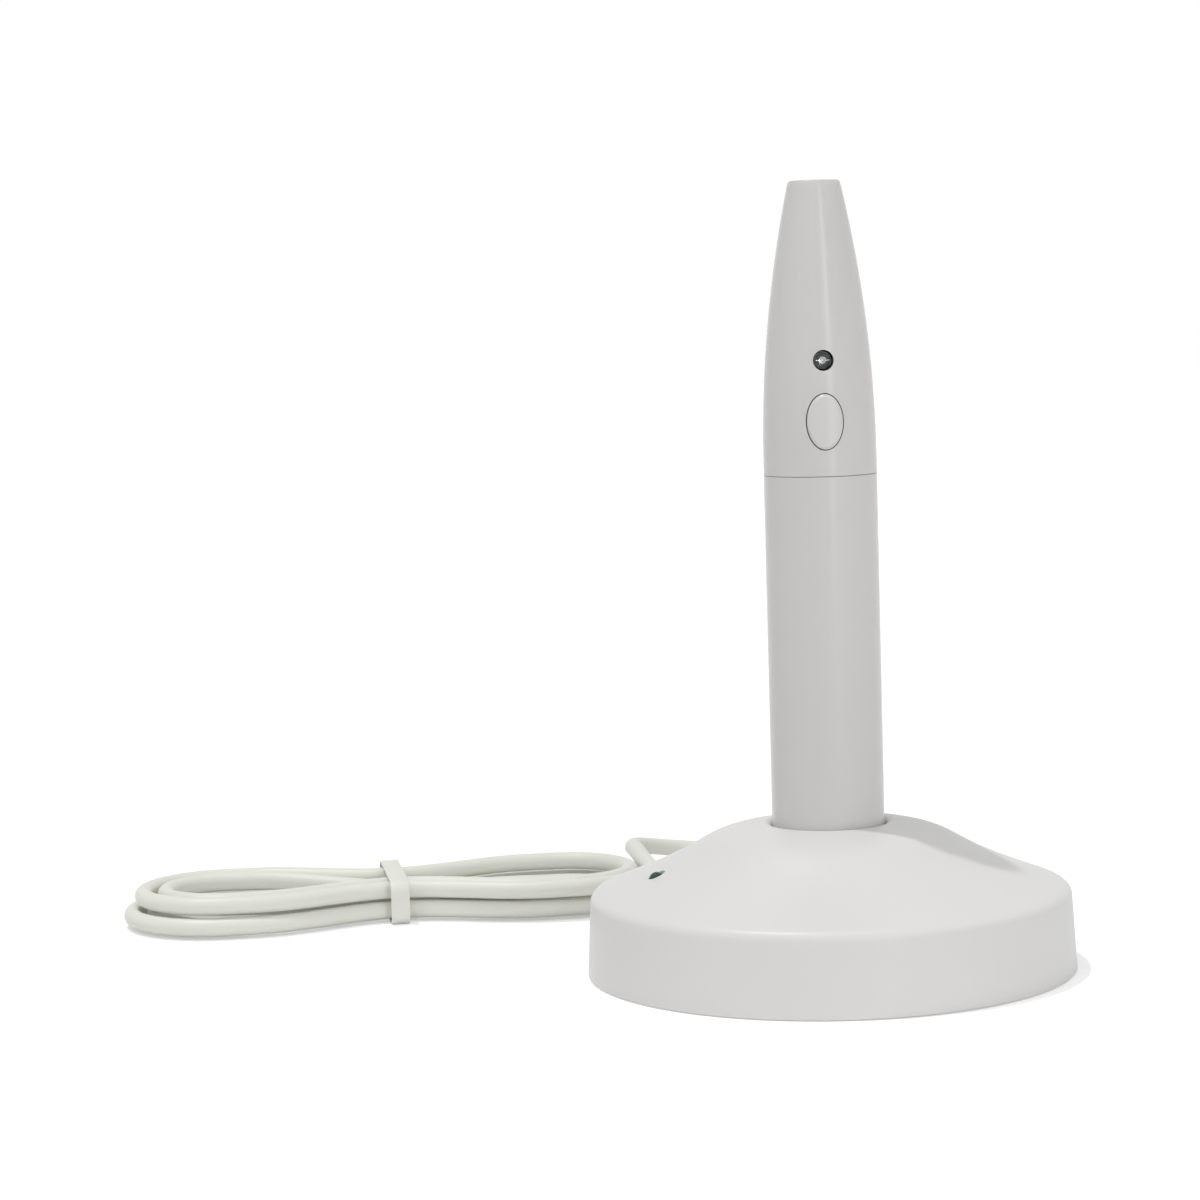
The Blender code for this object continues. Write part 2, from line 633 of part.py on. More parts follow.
lathe("tail_contact_centre", [(0.0, cap_top), (CENTRE_STEM_RADIUS, cap_top),
                              (CENTRE_STEM_RADIUS, contact_top), (CENTRE_CONTACT_RADIUS, contact_top),
                              (CENTRE_CONTACT_RADIUS, tail_z), (0.0, tail_z)], 24, GOLD)
lathe("tail_contact_ring", [(RING_CONTACT_INNER, tail_z), (RING_CONTACT_INNER, contact_top),
                            (ring_outer, contact_top), (ring_outer, tail_z)], 28, GOLD)
spring("tail_spring", TAIL_SPRING_RADIUS, TAIL_SPRING_WIRE, cap_top + GAP, cell_z - GAP,
       TAIL_SPRING_TURNS, NICKEL)
cell_top = cell_z + CELL_LENGTH
lathe("battery_cell", [(0.0, nub_top), (CELL_NUB_RADIUS - EDGE, nub_top),
                       (CELL_NUB_RADIUS, nub_top - EDGE), (CELL_NUB_RADIUS, cell_top),
                       (cell_radius - CELL_EDGE, cell_top), (cell_radius, cell_top - CELL_EDGE),
                       (cell_radius, cell_z + CELL_EDGE), (cell_radius - CELL_EDGE, cell_z),
                       (0.0, cell_z)], 28, CELL)


def nose_radius(z):
    start = shoulder_z + NOSE_STRAIGHT
    if z <= start:
        return barrel_radius
    share = (z - start) / (nose_top - start)
    return barrel_radius - (barrel_radius - NOSE_TIP_RADIUS) * share * share


# Front shell: tapering nose with the tip bore, and the spigot that screws into the barrel
seal_z = barrel_top - SEAL_BAND / 2
groove_half = SEAL_SECTION / 2 + GAP
seal_middle = (bore_radius + SEAL_STEP - GAP) - SEAL_SECTION / 2
groove_floor = seal_middle - SEAL_SECTION / 2 - GAP
spigot_z = shoulder_z - SPIGOT_LENGTH
outline = [(TIP_BORE_RADIUS, nose_top - NOSE_EDGE), (TIP_BORE_RADIUS + NOSE_EDGE, nose_top)]
outline.append((NOSE_TIP_RADIUS - NOSE_EDGE, nose_top))
for z in spread(nose_top - NOSE_EDGE, shoulder_z + NOSE_STRAIGHT, 10):
    outline.append((nose_radius(z), z))
outline += [(barrel_radius, shoulder_z + PARTING_EDGE), (barrel_radius - PARTING_EDGE, shoulder_z),
            (spigot_radius, shoulder_z)]
outline += [(spigot_radius, seal_z + groove_half), (groove_floor, seal_z + groove_half),
            (groove_floor, seal_z - groove_half), (spigot_radius, seal_z - groove_half)]
outline += [(spigot_radius, spigot_z + SPIGOT_EDGE), (spigot_radius - SPIGOT_EDGE, spigot_z),
            (spigot_bore, spigot_z)]
wide = barrel_radius - NOSE_WALL
root_z = shoulder_z + SPIGOT_ROOT
outline += [(spigot_bore, root_z), (wide, root_z + wide - spigot_bore)]
for z in spread(shoulder_z + NOSE_HOLLOW, step_z, 5):
    outline.append((nose_radius(z) - NOSE_WALL, z))
outline.append((TIP_BORE_RADIUS, step_z))
front_shell = lathe("front_shell", outline, BODY_STEPS, SHELL)
before = -barrel_radius - OVER
shape = bmesh.new()
add_oval(shape, BUTTON_WIDTH + 2 * BUTTON_CLEARANCE, BUTTON_HEIGHT + 2 * BUTTON_CLEARANCE, before,
         -NOSE_TIP_RADIUS, button_z)
add_post(shape, 0.0, lamp_z, before, -NOSE_TIP_RADIUS, LAMP_RADIUS + GAP, 24, "Y")
cut(front_shell, solid_from("front_openings", shape, None))

# Rubber ring in the spigot groove
side = []
for i in range(6):
    angle = 2 * math.pi * i / 6
    side.append((seal_middle + SEAL_SECTION / 2 * math.cos(angle),
                 seal_z + SEAL_SECTION / 2 * math.sin(angle)))
lathe("seal_ring", side, BODY_STEPS, SEAL_RED)

# Button: oval cap through the wall, wider lip behind it
lip_reach = nose_radius(button_z + BUTTON_HEIGHT / 2) - NOSE_WALL - GAP
button_back = BUTTON_LIP_THICKNESS - math.sqrt(lip_reach ** 2 - (BUTTON_WIDTH / 2 + BUTTON_LIP) ** 2)


def grown_nose(name, grow):
    low = button_z - BUTTON_HEIGHT
    high = button_z + BUTTON_HEIGHT
    side = [(0.0, high)] + [(nose_radius(z) + grow, z) for z in spread(high, low, 10)] + [(0.0, low)]
    return lathe(name, side, BODY_STEPS, None)


shape = bmesh.new()
add_oval(shape, BUTTON_WIDTH, BUTTON_HEIGHT, before, button_back - BUTTON_LIP_THICKNESS / 2, 0.0)
power_button = solid_from("power_button", shape, BUTTON_WHITE, (0, 0, button_z))
cut(power_button, grown_nose("button_crown", BUTTON_PROUD), "INTERSECT")
shape = bmesh.new()
add_oval(shape, BUTTON_WIDTH + 2 * BUTTON_LIP, BUTTON_HEIGHT + 2 * BUTTON_LIP, before, button_back,
         button_z)
lip = solid_from("button_lip", shape, None)
cut(lip, grown_nose("button_lip_crown", -NOSE_WALL - GAP), "INTERSECT")
cut(power_button, lip, "UNION")

# Switch under the button: square body, round stem that moves with the button
stem_tip = button_back + GAP
switch_front = stem_tip + STEM_PROUD
switch_back = board_front - GAP
stem_root = switch_front + STEM_ROOT
shape = bmesh.new()
half = SWITCH_SIZE / 2
add_block(shape, (-half, switch_front, button_z - half), (half, switch_back, button_z + half))
switch_body = solid_from("switch_body", shape, DARK)
shape = bmesh.new()
add_post(shape, 0.0, button_z, switch_front - OVER, stem_root + BUTTON_TRAVEL + GAP, STEM_RADIUS + GAP,
         20, "Y")
cut(switch_body, solid_from("switch_bore", shape, None))
lathe("switch_stem", [(0.0, -stem_root), (STEM_RADIUS, -stem_root), (STEM_RADIUS, -stem_tip - EDGE),
                      (STEM_RADIUS - EDGE, -stem_tip), (0.0, -stem_tip)], 20, NATURAL,
      (0, 0, button_z), (math.pi / 2, 0, 0))

# Carrier trough, control board and the contact that meets the cell
carrier_top = carrier_z + CARRIER_LENGTH
carrier = lathe("board_carrier", [(STUD_RADIUS + GAP, carrier_z + CARRIER_FLOOR),
                                  (carrier_radius - CARRIER_WALL, carrier_z + CARRIER_FLOOR),
                                  (carrier_radius - CARRIER_WALL, carrier_top),
                                  (carrier_radius, carrier_top), (carrier_radius, carrier_z),
                                  (STUD_RADIUS + GAP, carrier_z)], 36, NATURAL)
shape = bmesh.new()
wide = 2 * carrier_radius
add_block(shape, (-wide, -wide, carrier_z + CARRIER_FLOOR + TOUCH),
          (wide, carrier_cut, carrier_top + OVER))
cut(carrier, solid_from("carrier_front", shape, None))
shape = bmesh.new()
board_low = carrier_z + CARRIER_FLOOR + GAP + TOUCH
board_half = math.sqrt(carrier_radius ** 2 - board_front ** 2) - BOARD_SIDE
add_block(shape, (-board_half, board_front, board_low),
          (board_half, board_back, carrier_top + BOARD_OVERHANG))
solid_from("control_board", shape, BOARD)
contact_high = contact_z + CONTACT_THICKNESS
stud_top = carrier_z + CARRIER_FLOOR + STUD_PROUD
lathe("front_contact", [(0.0, stud_top), (STUD_RADIUS, stud_top), (STUD_RADIUS, contact_high),
                        (CONTACT_RADIUS, contact_high), (CONTACT_RADIUS, contact_z), (0.0, contact_z)],
      24, GOLD)

# Status lamp: clear lens through the shell, metal frame in it
lens_tip = nose_radius(lamp_z) - LAMP_SINK
lens_base = lens_tip - LAMP_LENGTH
side = [(0.0, lens_tip)]
for i in range(1, 6):
    angle = math.pi / 2 * i / 5
    side.append((LAMP_RADIUS * math.sin(angle),
                 lens_tip - LAMP_RADIUS * LAMP_DOME * (1 - math.cos(angle))))
pocket = LAMP_RADIUS - LAMP_WALL
pocket_end = lens_tip - LAMP_HOLLOW
flange_radius = LAMP_RADIUS + LAMP_FLANGE
side += [(LAMP_RADIUS, lens_base + LAMP_FLANGE_HEIGHT), (flange_radius, lens_base + LAMP_FLANGE_HEIGHT),
         (flange_radius, lens_base), (pocket, lens_base), (pocket, pocket_end), (0.0, pocket_end)]
lathe("status_lens", side, 20, CLEAR, (0, 0, lamp_z), (math.pi / 2, 0, 0))
frame_tip = pocket_end - GAP
frame_radius = pocket - GAP
frame_stem = frame_radius / 2
frame_end = -board_front + GAP
lathe("status_frame", [(0.0, frame_tip - FRAME_CUP), (frame_stem, frame_tip - FRAME_CUP),
                       (frame_radius, frame_tip), (frame_radius, frame_tip - FRAME_RIM),
                       (frame_stem, frame_tip - FRAME_RIM - FRAME_CUP), (frame_stem, frame_end),
                       (0.0, frame_end)], 16, NICKEL, (0, 0, lamp_z), (math.pi / 2, 0, 0))

# Tip socket in the nose, two contact sleeves and their wires down to the board
flange_top = step_z - GAP
flange_low = flange_top - SOCKET_FLANGE
socket_flange = nose_radius(step_z) - NOSE_WALL - GAP
tip_socket = lathe("tip_socket", [(0.0, tip_seat), (TIP_BORE_RADIUS - GAP, tip_seat),
                                  (TIP_BORE_RADIUS - GAP, flange_top), (socket_flange, flange_top),
                                  (socket_flange, flange_low), (0.0, flange_low)], 32, DARK)
shape = bmesh.new()
for x in (-SOCKET_PITCH / 2, SOCKET_PITCH / 2):
    add_post(shape, x, 0.0, flange_low - OVER, tip_seat + OVER, SLEEVE_RADIUS + GAP, 20)
cut(tip_socket, solid_from("socket_bores", shape, None))
sleeve_low = flange_low - SLEEVE_TAIL
sleeve_high = tip_seat - GAP
bore_end = sleeve_low + SLEEVE_END
collar_high = flange_low - GAP
collar_low = collar_high - SLEEVE_COLLAR_HEIGHT
collar_wide = SLEEVE_RADIUS + SLEEVE_COLLAR
wire_top = sleeve_low - GAP
wire_low = carrier_top + BOARD_OVERHANG + GAP
wire_middle = (wire_low + wire_top) / 2
board_middle = (board_front + board_back) / 2
for label, x in (("left", -SOCKET_PITCH / 2), ("right", SOCKET_PITCH / 2)):
    lathe("socket_sleeve_" + label, [(0.0, bore_end), (SLEEVE_BORE, bore_end),
                                     (SLEEVE_BORE, sleeve_high), (SLEEVE_RADIUS, sleeve_high),
                                     (SLEEVE_RADIUS, collar_high),
                                     (collar_wide, collar_high), (collar_wide, collar_low),
                                     (SLEEVE_RADIUS, collar_low), (SLEEVE_RADIUS, sleeve_low),
                                     (0.0, sleeve_low)], 14, GOLD, (x, 0, 0))
    wire = interpolate_bezier(Vector((x, 0, wire_top)), Vector((x, 0, wire_middle)),
                              Vector((x, board_middle, wire_middle)),
                              Vector((x, board_middle, wire_low)), 8)
    tube("socket_lead_" + label, wire, LEAD_WIRE, DARK if x < 0 else SEAL_RED, 1)

# Strain relief through the skirt: flange inside, collar and ribbed taper outside
cord_radius = CORD_DIAMETER / 2
wall_out = BASE_RADIUS - BASE_DRAFT * EXIT_HEIGHT / SKIRT_HEIGHT
inside_lip = RELIEF_NECK + RELIEF_LIP
inside_face = math.sqrt((wall_out - BASE_WALL) ** 2 - inside_lip ** 2) - GAP
collar_face = wall_out + GAP
relief_end = collar_face + RELIEF_LENGTH
lip_face = inside_face - RELIEF_LIP_THICKNESS
collar = RELIEF_NECK + RELIEF_COLLAR
collar_end = collar_face + RELIEF_COLLAR_LENGTH
side = [(0.0, lip_face), (inside_lip, lip_face), (inside_lip, inside_face), (RELIEF_NECK, inside_face),
        (RELIEF_NECK, collar_face), (collar, collar_face), (collar, collar_end)]
pitch = (relief_end - collar_end) / RELIEF_RIBS
narrowing = (RELIEF_NECK - cord_radius - EDGE) / RELIEF_RIBS
for i in range(RELIEF_RIBS):
    start = collar_end + pitch * i
    body = RELIEF_NECK + GAP - narrowing * i
    groove = start + pitch * RIB_GROOVE
    side += [(body - RIB_DEPTH, start + TOUCH), (body - RIB_DEPTH, groove), (body, groove + TOUCH),
             (body - TOUCH, start + pitch)]
side.append((0.0, relief_end))
lathe("cord_relief", side[::-1], 16, CORD, (0, 0, EXIT_HEIGHT), (-math.pi / 2, 0, 0))


# Hank: stadium loops drawn in at the waist, two layers, spiralling in and out again
turn = math.radians(HANK_ANGLE)
along = Vector((math.cos(turn), math.sin(turn), 0))
across = Vector((-math.sin(turn), math.cos(turn), 0))
hank_low = TIE_THICKNESS + GAP + cord_radius
hank_outer = HANK_INNER + hank_step * HANK_TURNS
half_run = HANK_RUN / 2


def hank_point(turns):
    share = turns % 1.0
    climb_end = HANK_TURNS + 0.25
    if turns <= HANK_TURNS:
        radius = hank_outer - hank_step * turns
        height = hank_low
    elif turns <= climb_end:
        part = (turns - HANK_TURNS) * 4
        radius = HANK_INNER
        height = hank_low + layer_step * part * part * (3 - 2 * part)
    else:
        radius = HANK_INNER + hank_step * (turns - climb_end)
        height = hank_low + layer_step
    if share < 0.25 or 0.5 <= share < 0.75:
        part = (share % 0.25) * 4
        x = half_run * (1 - 2 * part)
        draw = math.cos(math.pi / 2 * min(1.0, abs(x) / (half_run * HANK_WAIST))) ** 2
        y = radius - HANK_DRAW * draw
        if share >= 0.5:
            x = -x
            y = -y
    else:
        angle = math.pi * (share % 0.25) * 4
        x = -half_run - radius * math.sin(angle)
        y = radius * math.cos(angle)
        if share >= 0.75:
            x = -x
            y = -y
    return hank_middle + along * x + across * y + Vector((0, 0, height))


first = hank_point(0.0)
hank_points = [first + along * (CORD_DIAMETER + GAP), first]
for quarter in range(math.ceil(HANK_LEAVES * 4)):
    steps = RUN_STEPS if quarter % 2 == 0 else ARC_STEPS
    for i in range(1, steps + 1):
        turns = (quarter + i / steps) / 4
        if turns <= HANK_LEAVES:
            hank_points.append(hank_point(turns))
hank_points.append(hank_points[-1] + across * HANK_END)
tube("cord_hank", hank_points, CORD_DIAMETER, CORD, 1)


def least_gap(points):
    # Finest distance between parts of the tube that are not neighbours, less its diameter.
    fine = []
    for a, b in zip(points, points[1:]):
        fine += [a.lerp(b, i / 4) for i in range(4)]
    fine.append(points[-1])
    reach = [0.0]
    for a, b in zip(fine, fine[1:]):
        reach.append(reach[-1] + (b - a).length)
    least = 1.0
    for i, a in enumerate(fine):
        for j in range(i + 1, len(fine)):
            if reach[j] - reach[i] > 8 * CORD_DIAMETER:
                least = min(least, (a - fine[j]).length)
    return least - CORD_DIAMETER, reach[-1]


hank_gap, hank_length = least_gap(hank_points)


def through(points, way_in, way_out, steps):
    # A smooth curve through the points, leaving the first and meeting the last along the ways given.
    ends = [points[0] - way_in * (points[1] - points[0]).length]
    ends.append(points[-1] + way_out * (points[-1] - points[-2]).length)
    chain = [ends[0]] + points + [ends[1]]
    curve = [points[0]]
    for a, b, c, d in zip(chain, chain[1:], chain[2:], chain[3:]):
        reach = (c - b).length / 3
        pull_b = (c - a).normalized() * reach
        pull_c = (d - b).normalized() * reach
        curve += interpolate_bezier(b, b + pull_b, c - pull_c, c, steps + 1)[1:]
    return curve


def route(start, end, low, high, shares):
    spots = [start]
    for side, back, height in shares:
        spots.append(Vector((start.x + (end.x - start.x) * side, start.y + (end.y - start.y) * back,
                             low + (high - low) * height)))
    return spots + [end]


# Lead from the relief to the hank, and from the hank over the lead to the plug
exit_point = Vector((0, relief_end + GAP, EXIT_HEIGHT))
joins = hank_points[0] + along * GAP
lead_points = through(route(exit_point, joins, cord_radius, EXIT_HEIGHT, LEAD_ROUTE), Vector((0, 1, 0)),
                      -along, 2)
tube("cord_lead", lead_points, CORD_DIAMETER, CORD, 2)
plug_turn = math.radians(PLUG_ANGLE)
plug_way = Vector((math.cos(plug_turn), math.sin(plug_turn), 0))
plug_rear = Vector((PLUG_X, BASE_RADIUS + PLUG_BEHIND, PLUG_HEIGHT / 2))
leaves = hank_points[-1] + across * GAP
meets = plug_rear - plug_way * GAP
tail_points = through(route(leaves, meets, plug_rear.z, leaves.z, TAIL_ROUTE), across, plug_way, 2)
tube("cord_tail", tail_points, CORD_DIAMETER, CORD, 2)


def run_length(points):
    return sum((b - a).length for a, b in zip(points, points[1:]))


cord_length = hank_length + run_length(lead_points) + run_length(tail_points)
print("hank gap %.2f mm" % (hank_gap * 1000), "cord %.3f m" % cord_length)

# Tie round the waist of the hank
tie_half = hank_outer - HANK_DRAW + cord_radius + GAP
tie_low = TIE_THICKNESS
tie_high = hank_low + layer_step + cord_radius + GAP


def tie_loop(grow):
    spots = []
    low = tie_low - grow
    high = tie_high + grow
    wide = tie_half + grow
    round_off = TIE_CORNER + grow
    for cy, cz, start in ((wide - round_off, high - round_off, 0),
                          (round_off - wide, high - round_off, 90),
                          (round_off - wide, low + round_off, 180),
                          (wide - round_off, low + round_off, 270)):
        for i in range(5):
            angle = math.radians(start + 22.5 * i)
            spots.append((cy + round_off * math.cos(angle), cz + round_off * math.sin(angle)))
    return spots


shape = bmesh.new()
rows = []
for x, spots in ((-TIE_WIDTH / 2, tie_loop(0.0)), (TIE_WIDTH / 2, tie_loop(0.0)),
                 (TIE_WIDTH / 2, tie_loop(TIE_THICKNESS)), (-TIE_WIDTH / 2, tie_loop(TIE_THICKNESS))):
    rows.append([shape.verts.new((x, y, z)) for y, z in spots])
for a, b in zip(rows, rows[1:] + rows[:1]):
    for i in range(len(a)):
        j = (i + 1) % len(a)
        shape.faces.new((a[i], a[j], b[j], b[i]))
solid_from("cord_tie", shape, CORD, hank_middle, (0, 0, turn))

# Plug lying behind the base: moulded grip with a tapered neck, metal shell and its tongue
grip_end = PLUG_NECK + PLUG_LENGTH
shape = bmesh.new()
add_block(shape, (PLUG_NECK, -PLUG_WIDTH / 2, -PLUG_HEIGHT / 2),
          (grip_end, PLUG_WIDTH / 2, PLUG_HEIGHT / 2))
plug_grip = bevel(solid_from("plug_grip", shape, CORD, plug_rear, (0, 0, plug_turn)), PLUG_EDGE)
neck = lathe("plug_neck", [(0.0, PLUG_NECK + ROOT), (PLUG_NECK_RADIUS, PLUG_NECK + ROOT),
                           (PLUG_NECK_RADIUS, PLUG_NECK - ROOT), (cord_radius + EDGE, 0.0), (0.0, 0.0)],
             20, None, plug_rear, (0, math.pi / 2, plug_turn))
cut(plug_grip, neck, "UNION")
shape = bmesh.new()
seat_half = PLUG_SHELL_WIDTH / 2 + GAP
seat_high = PLUG_SHELL_HEIGHT / 2 + GAP
add_block(shape, (grip_end - PLUG_SEAT, -seat_half, -seat_high),
          (grip_end + OVER, seat_half, seat_high))
cut(plug_grip, solid_from("plug_seat", shape, None, plug_rear, (0, 0, plug_turn)))
shell_back = grip_end - PLUG_SEAT + GAP
shell_front = shell_back + PLUG_SHELL_LENGTH
half = PLUG_SHELL_WIDTH / 2
high = PLUG_SHELL_HEIGHT / 2
shape = bmesh.new()
add_block(shape, (shell_back, -half, -high), (shell_front, half, high))
plug_shell = solid_from("plug_shell", shape, NICKEL, plug_rear, (0, 0, plug_turn))
shape = bmesh.new()
inner_half = half - PLUG_SHELL_WALL
inner_high = high - PLUG_SHELL_WALL
add_block(shape, (shell_back + PLUG_SHELL_FLOOR, -inner_half, -inner_high),
          (shell_front + OVER, inner_half, inner_high))
cut(plug_shell, solid_from("plug_hollow", shape, None, plug_rear, (0, 0, plug_turn)))
window = shell_front - WINDOW_BACK
shape = bmesh.new()
for y in (-(WINDOW_SPACING + WINDOW_SIZE) / 2, (WINDOW_SPACING - WINDOW_SIZE) / 2):
    add_block(shape, (window, y, inner_high - PLUG_SHELL_WALL),
              (window + WINDOW_SIZE, y + WINDOW_SIZE, high + OVER))
cut(plug_shell, solid_from("plug_windows", shape, None, plug_rear, (0, 0, plug_turn)))
shape = bmesh.new()
tongue_half = inner_half - GAP
tongue_low = GAP - inner_high
add_block(shape, (shell_back + PLUG_SHELL_FLOOR + GAP, -tongue_half, tongue_low),
          (shell_front - TONGUE_SHORT, tongue_half, tongue_low + TONGUE_THICKNESS))
solid_from("plug_tongue", shape, DARK, plug_rear, (0, 0, plug_turn))
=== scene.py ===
import math
import bpy
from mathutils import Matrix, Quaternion, Vector
from mathutils.geometry import interpolate_bezier


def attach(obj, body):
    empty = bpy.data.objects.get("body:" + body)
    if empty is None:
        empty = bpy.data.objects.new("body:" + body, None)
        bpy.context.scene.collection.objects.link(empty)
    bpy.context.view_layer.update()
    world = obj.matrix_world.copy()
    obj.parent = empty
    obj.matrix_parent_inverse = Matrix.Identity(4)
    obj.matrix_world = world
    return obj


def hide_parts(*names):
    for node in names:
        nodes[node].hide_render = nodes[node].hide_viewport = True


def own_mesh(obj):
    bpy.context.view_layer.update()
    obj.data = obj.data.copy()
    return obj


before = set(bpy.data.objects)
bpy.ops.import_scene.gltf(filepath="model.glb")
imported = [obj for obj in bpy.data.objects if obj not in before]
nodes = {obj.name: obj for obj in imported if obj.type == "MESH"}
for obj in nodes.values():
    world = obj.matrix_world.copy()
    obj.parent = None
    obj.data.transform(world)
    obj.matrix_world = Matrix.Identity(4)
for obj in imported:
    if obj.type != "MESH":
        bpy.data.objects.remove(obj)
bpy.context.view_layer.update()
scene = bpy.context.scene
scene.view_settings.view_transform = "Standard"
mm = 0.001  # sizes below are in millimetres, as on the drawing
print("frame loaded,", len(nodes), "nodes")


# camera where the photographer stood
cameraSet = {"place": (-69.38, -638.69, 133.92), "towards": (0.0402, 0.9949, -0.0928), "roll": -1.689,
             "lens": 99.0, "sensor": 36.0, "near": 10.0}


def deselect():
    if bpy.context.object and bpy.context.object.mode != "OBJECT":
        bpy.ops.object.mode_set(mode="OBJECT")
    bpy.ops.object.select_all(action="DESELECT")


deselect()
bpy.ops.object.camera_add(location=[v * mm for v in cameraSet["place"]])
camera = bpy.context.object
camera.name = "photoCamera"
camera.rotation_mode = "QUATERNION"
camera.rotation_quaternion = (Vector(cameraSet["towards"]).to_track_quat("-Z", "Y")
                              @ Quaternion((0, 0, 1), math.radians(cameraSet["roll"])))
camera.data.lens = cameraSet["lens"]
camera.data.sensor_width = cameraSet["sensor"]
camera.data.clip_start = cameraSet["near"] * mm
scene.camera = camera
print("camera set")


# lead: out of the base, hank, plug. Points as in the CAD route, length in metres.
leadSet = {"diameter": 3.8, "length": 1.1207, "roundness": 6, "endSteps": 5, "turnSteps": 96,
           "out": [(0.0, 61.89, 8.5), (-0.48, 68.11, 7.8), (-1.79, 73.99, 6.2), (-3.91, 79.8, 4.2),
                   (-6.71, 85.4, 2.6), (-10.0, 90.89, 1.9), (-15.02, 95.59, 2.0), (-22.41, 98.99, 2.1),
                   (-31.01, 101.0, 2.36), (-39.9, 101.91, 2.53), (-48.3, 101.67, 2.6)],
           "home": [(-31.25, 86.92, 6.9), (-31.69, 91.09, 6.9), (-32.08, 95.3, 7.0), (-32.48, 99.51, 7.2),
                    (-32.88, 103.61, 7.3), (-33.3, 107.82, 7.25), (-32.38, 111.93, 6.9),
                    (-29.03, 115.64, 6.0), (-23.89, 118.55, 5.0), (-17.5, 120.14, 4.1), (-10.0, 120.0, 3.7)],
           "middle": (-87.3, 75.9), "angle": 5.8, "halfRun": 37.0, "inner": 12.0, "step": 4.85,
           "low": 2.6, "layer": 4.3, "climb": 0.25, "draw": 9.0, "waist": 0.84, "turnsDown": 2.0,
           "leaves": 3.875, "plugAngle": -8.0}
hankTurn = math.radians(leadSet["angle"])
hankAlong = Vector((math.cos(hankTurn), math.sin(hankTurn), 0))
hankAcross = Vector((-math.sin(hankTurn), math.cos(hankTurn), 0))
plugTurn = math.radians(leadSet["plugAngle"])
plugWay = Vector((math.cos(plugTurn), math.sin(plugTurn), 0))


def hankPoint(turns):
    s = leadSet
    quarter = turns % 1.0 * 4
    climbed = turns - s["turnsDown"]
    radius = s["inner"] - s["step"] * climbed  # spirals in on the table
    height = s["low"]
    if climbed > s["climb"]:  # spirals out again on top
        radius = s["inner"] + s["step"] * (climbed - s["climb"])
        height += s["layer"]
    elif climbed > 0:  # climbs along one run
        share = climbed / s["climb"]
        radius = s["inner"]
        height += s["layer"] * share ** 2 * (3 - 2 * share)
    part = quarter % 1.0
    if int(quarter) % 2 == 0:
        x = s["halfRun"] * (1 - 2 * part)
        pulled = math.cos(math.pi / 2 * min(1.0, abs(x) / (s["halfRun"] * s["waist"]))) ** 2
        y = radius - s["draw"] * pulled
    else:
        x = -s["halfRun"] - radius * math.sin(math.pi * part)
        y = radius * math.cos(math.pi * part)
    side = 1 if quarter < 2 else -1
    return Vector((s["middle"][0], s["middle"][1], height)) + hankAlong * x * side + hankAcross * y * side


def smoothThrough(spots, wayIn, wayOut):
    points = [Vector(spot) for spot in spots]
    chain = [points[0] - wayIn * (points[1] - points[0]).length] + points
    chain.append(points[-1] + wayOut * (points[-1] - points[-2]).length)
    curve = [points[0]]
    for a, b, c, d in zip(chain, chain[1:], chain[2:], chain[3:]):
        reach = (c - b).length / 3
        curve += interpolate_bezier(b, b + (c - a).normalized() * reach, c - (d - b).normalized() * reach,
                                    c, leadSet["endSteps"] + 1)[1:]
    return curve


# round rod bent along a line of points
def bentRod(name, line, diameter, roundness):
    curve = bpy.data.curves.new(name, "CURVE")
    curve.dimensions = "3D"
    curve.bevel_depth = diameter / 2 * mm
    curve.bevel_resolution = roundness
    curve.use_fill_caps = True
    spline = curve.splines.new("POLY")
    spline.points.add(len(line) - 1)
    for (x, y, z), point in zip(line, spline.points):
        point.co = (x * mm, y * mm, z * mm, 1.0)
    spline.use_smooth = True
    piece = bpy.data.objects.new(name, curve)
    scene.collection.objects.link(piece)
    return piece


turnSteps = leadSet["turnSteps"]
leadLine = smoothThrough(leadSet["out"], Vector((0, 1, 0)), -hankAlong)
leadLine += [hankPoint(i / turnSteps) for i in range(int(leadSet["leaves"] * turnSteps) + 1)]
leadLine += smoothThrough(leadSet["home"], hankAcross, plugWay)
chargeLead = bentRod("chargeLead", leadLine, leadSet["diameter"], leadSet["roundness"])
leadLength = sum((b - a).length for a, b in zip(leadLine, leadLine[1:])) * mm
print("lead laid, %.4f m" % leadLength)


# shader maths on sockets
class Wire:
    def __init__(self, tree, socket=None):
        self.tree = tree
        self.socket = socket

    def node(self, kind, settings=None, sockets=None, out=0):
        made = self.tree.nodes.new(kind)
        for key, value in (settings or {}).items():
            setattr(made, key, value)
        for key, value in (sockets or {}).items():
            if isinstance(value, Wire):
                self.tree.links.new(value.socket, made.inputs[key])
            else:
                made.inputs[key].default_value = value
        return Wire(self.tree, made.outputs[out])

    def other(self, name):
        return Wire(self.tree, self.socket.node.outputs[name])

    def sum(self, operation, a, b):
        return self.node("ShaderNodeMath", {"operation": operation}, {0: a, 1: b})

    def __add__(self, b):
        return self.sum("ADD", self, b)

    def __radd__(self, a):
        return self.sum("ADD", a, self)

    def __sub__(self, b):
        return self.sum("SUBTRACT", self, b)

    def __rsub__(self, a):
        return self.sum("SUBTRACT", a, self)

    def __mul__(self, b):
        return self.sum("MULTIPLY", self, b)

    def __rmul__(self, a):
        return self.sum("MULTIPLY", a, self)

    def __pow__(self, b):
        return self.sum("POWER", self, b)

    def mixed(self, low, high):  # colour from low to high by this value
        return self.node("ShaderNodeMix", {"data_type": "RGBA"}, {0: self, 6: low, 7: high}, 2)

    def into(self, shader, name):
        self.tree.links.new(self.socket, shader.inputs[name])


def shade(colour, factor):
    return (colour[0] * factor, colour[1] * factor, colour[2] * factor, 1.0)


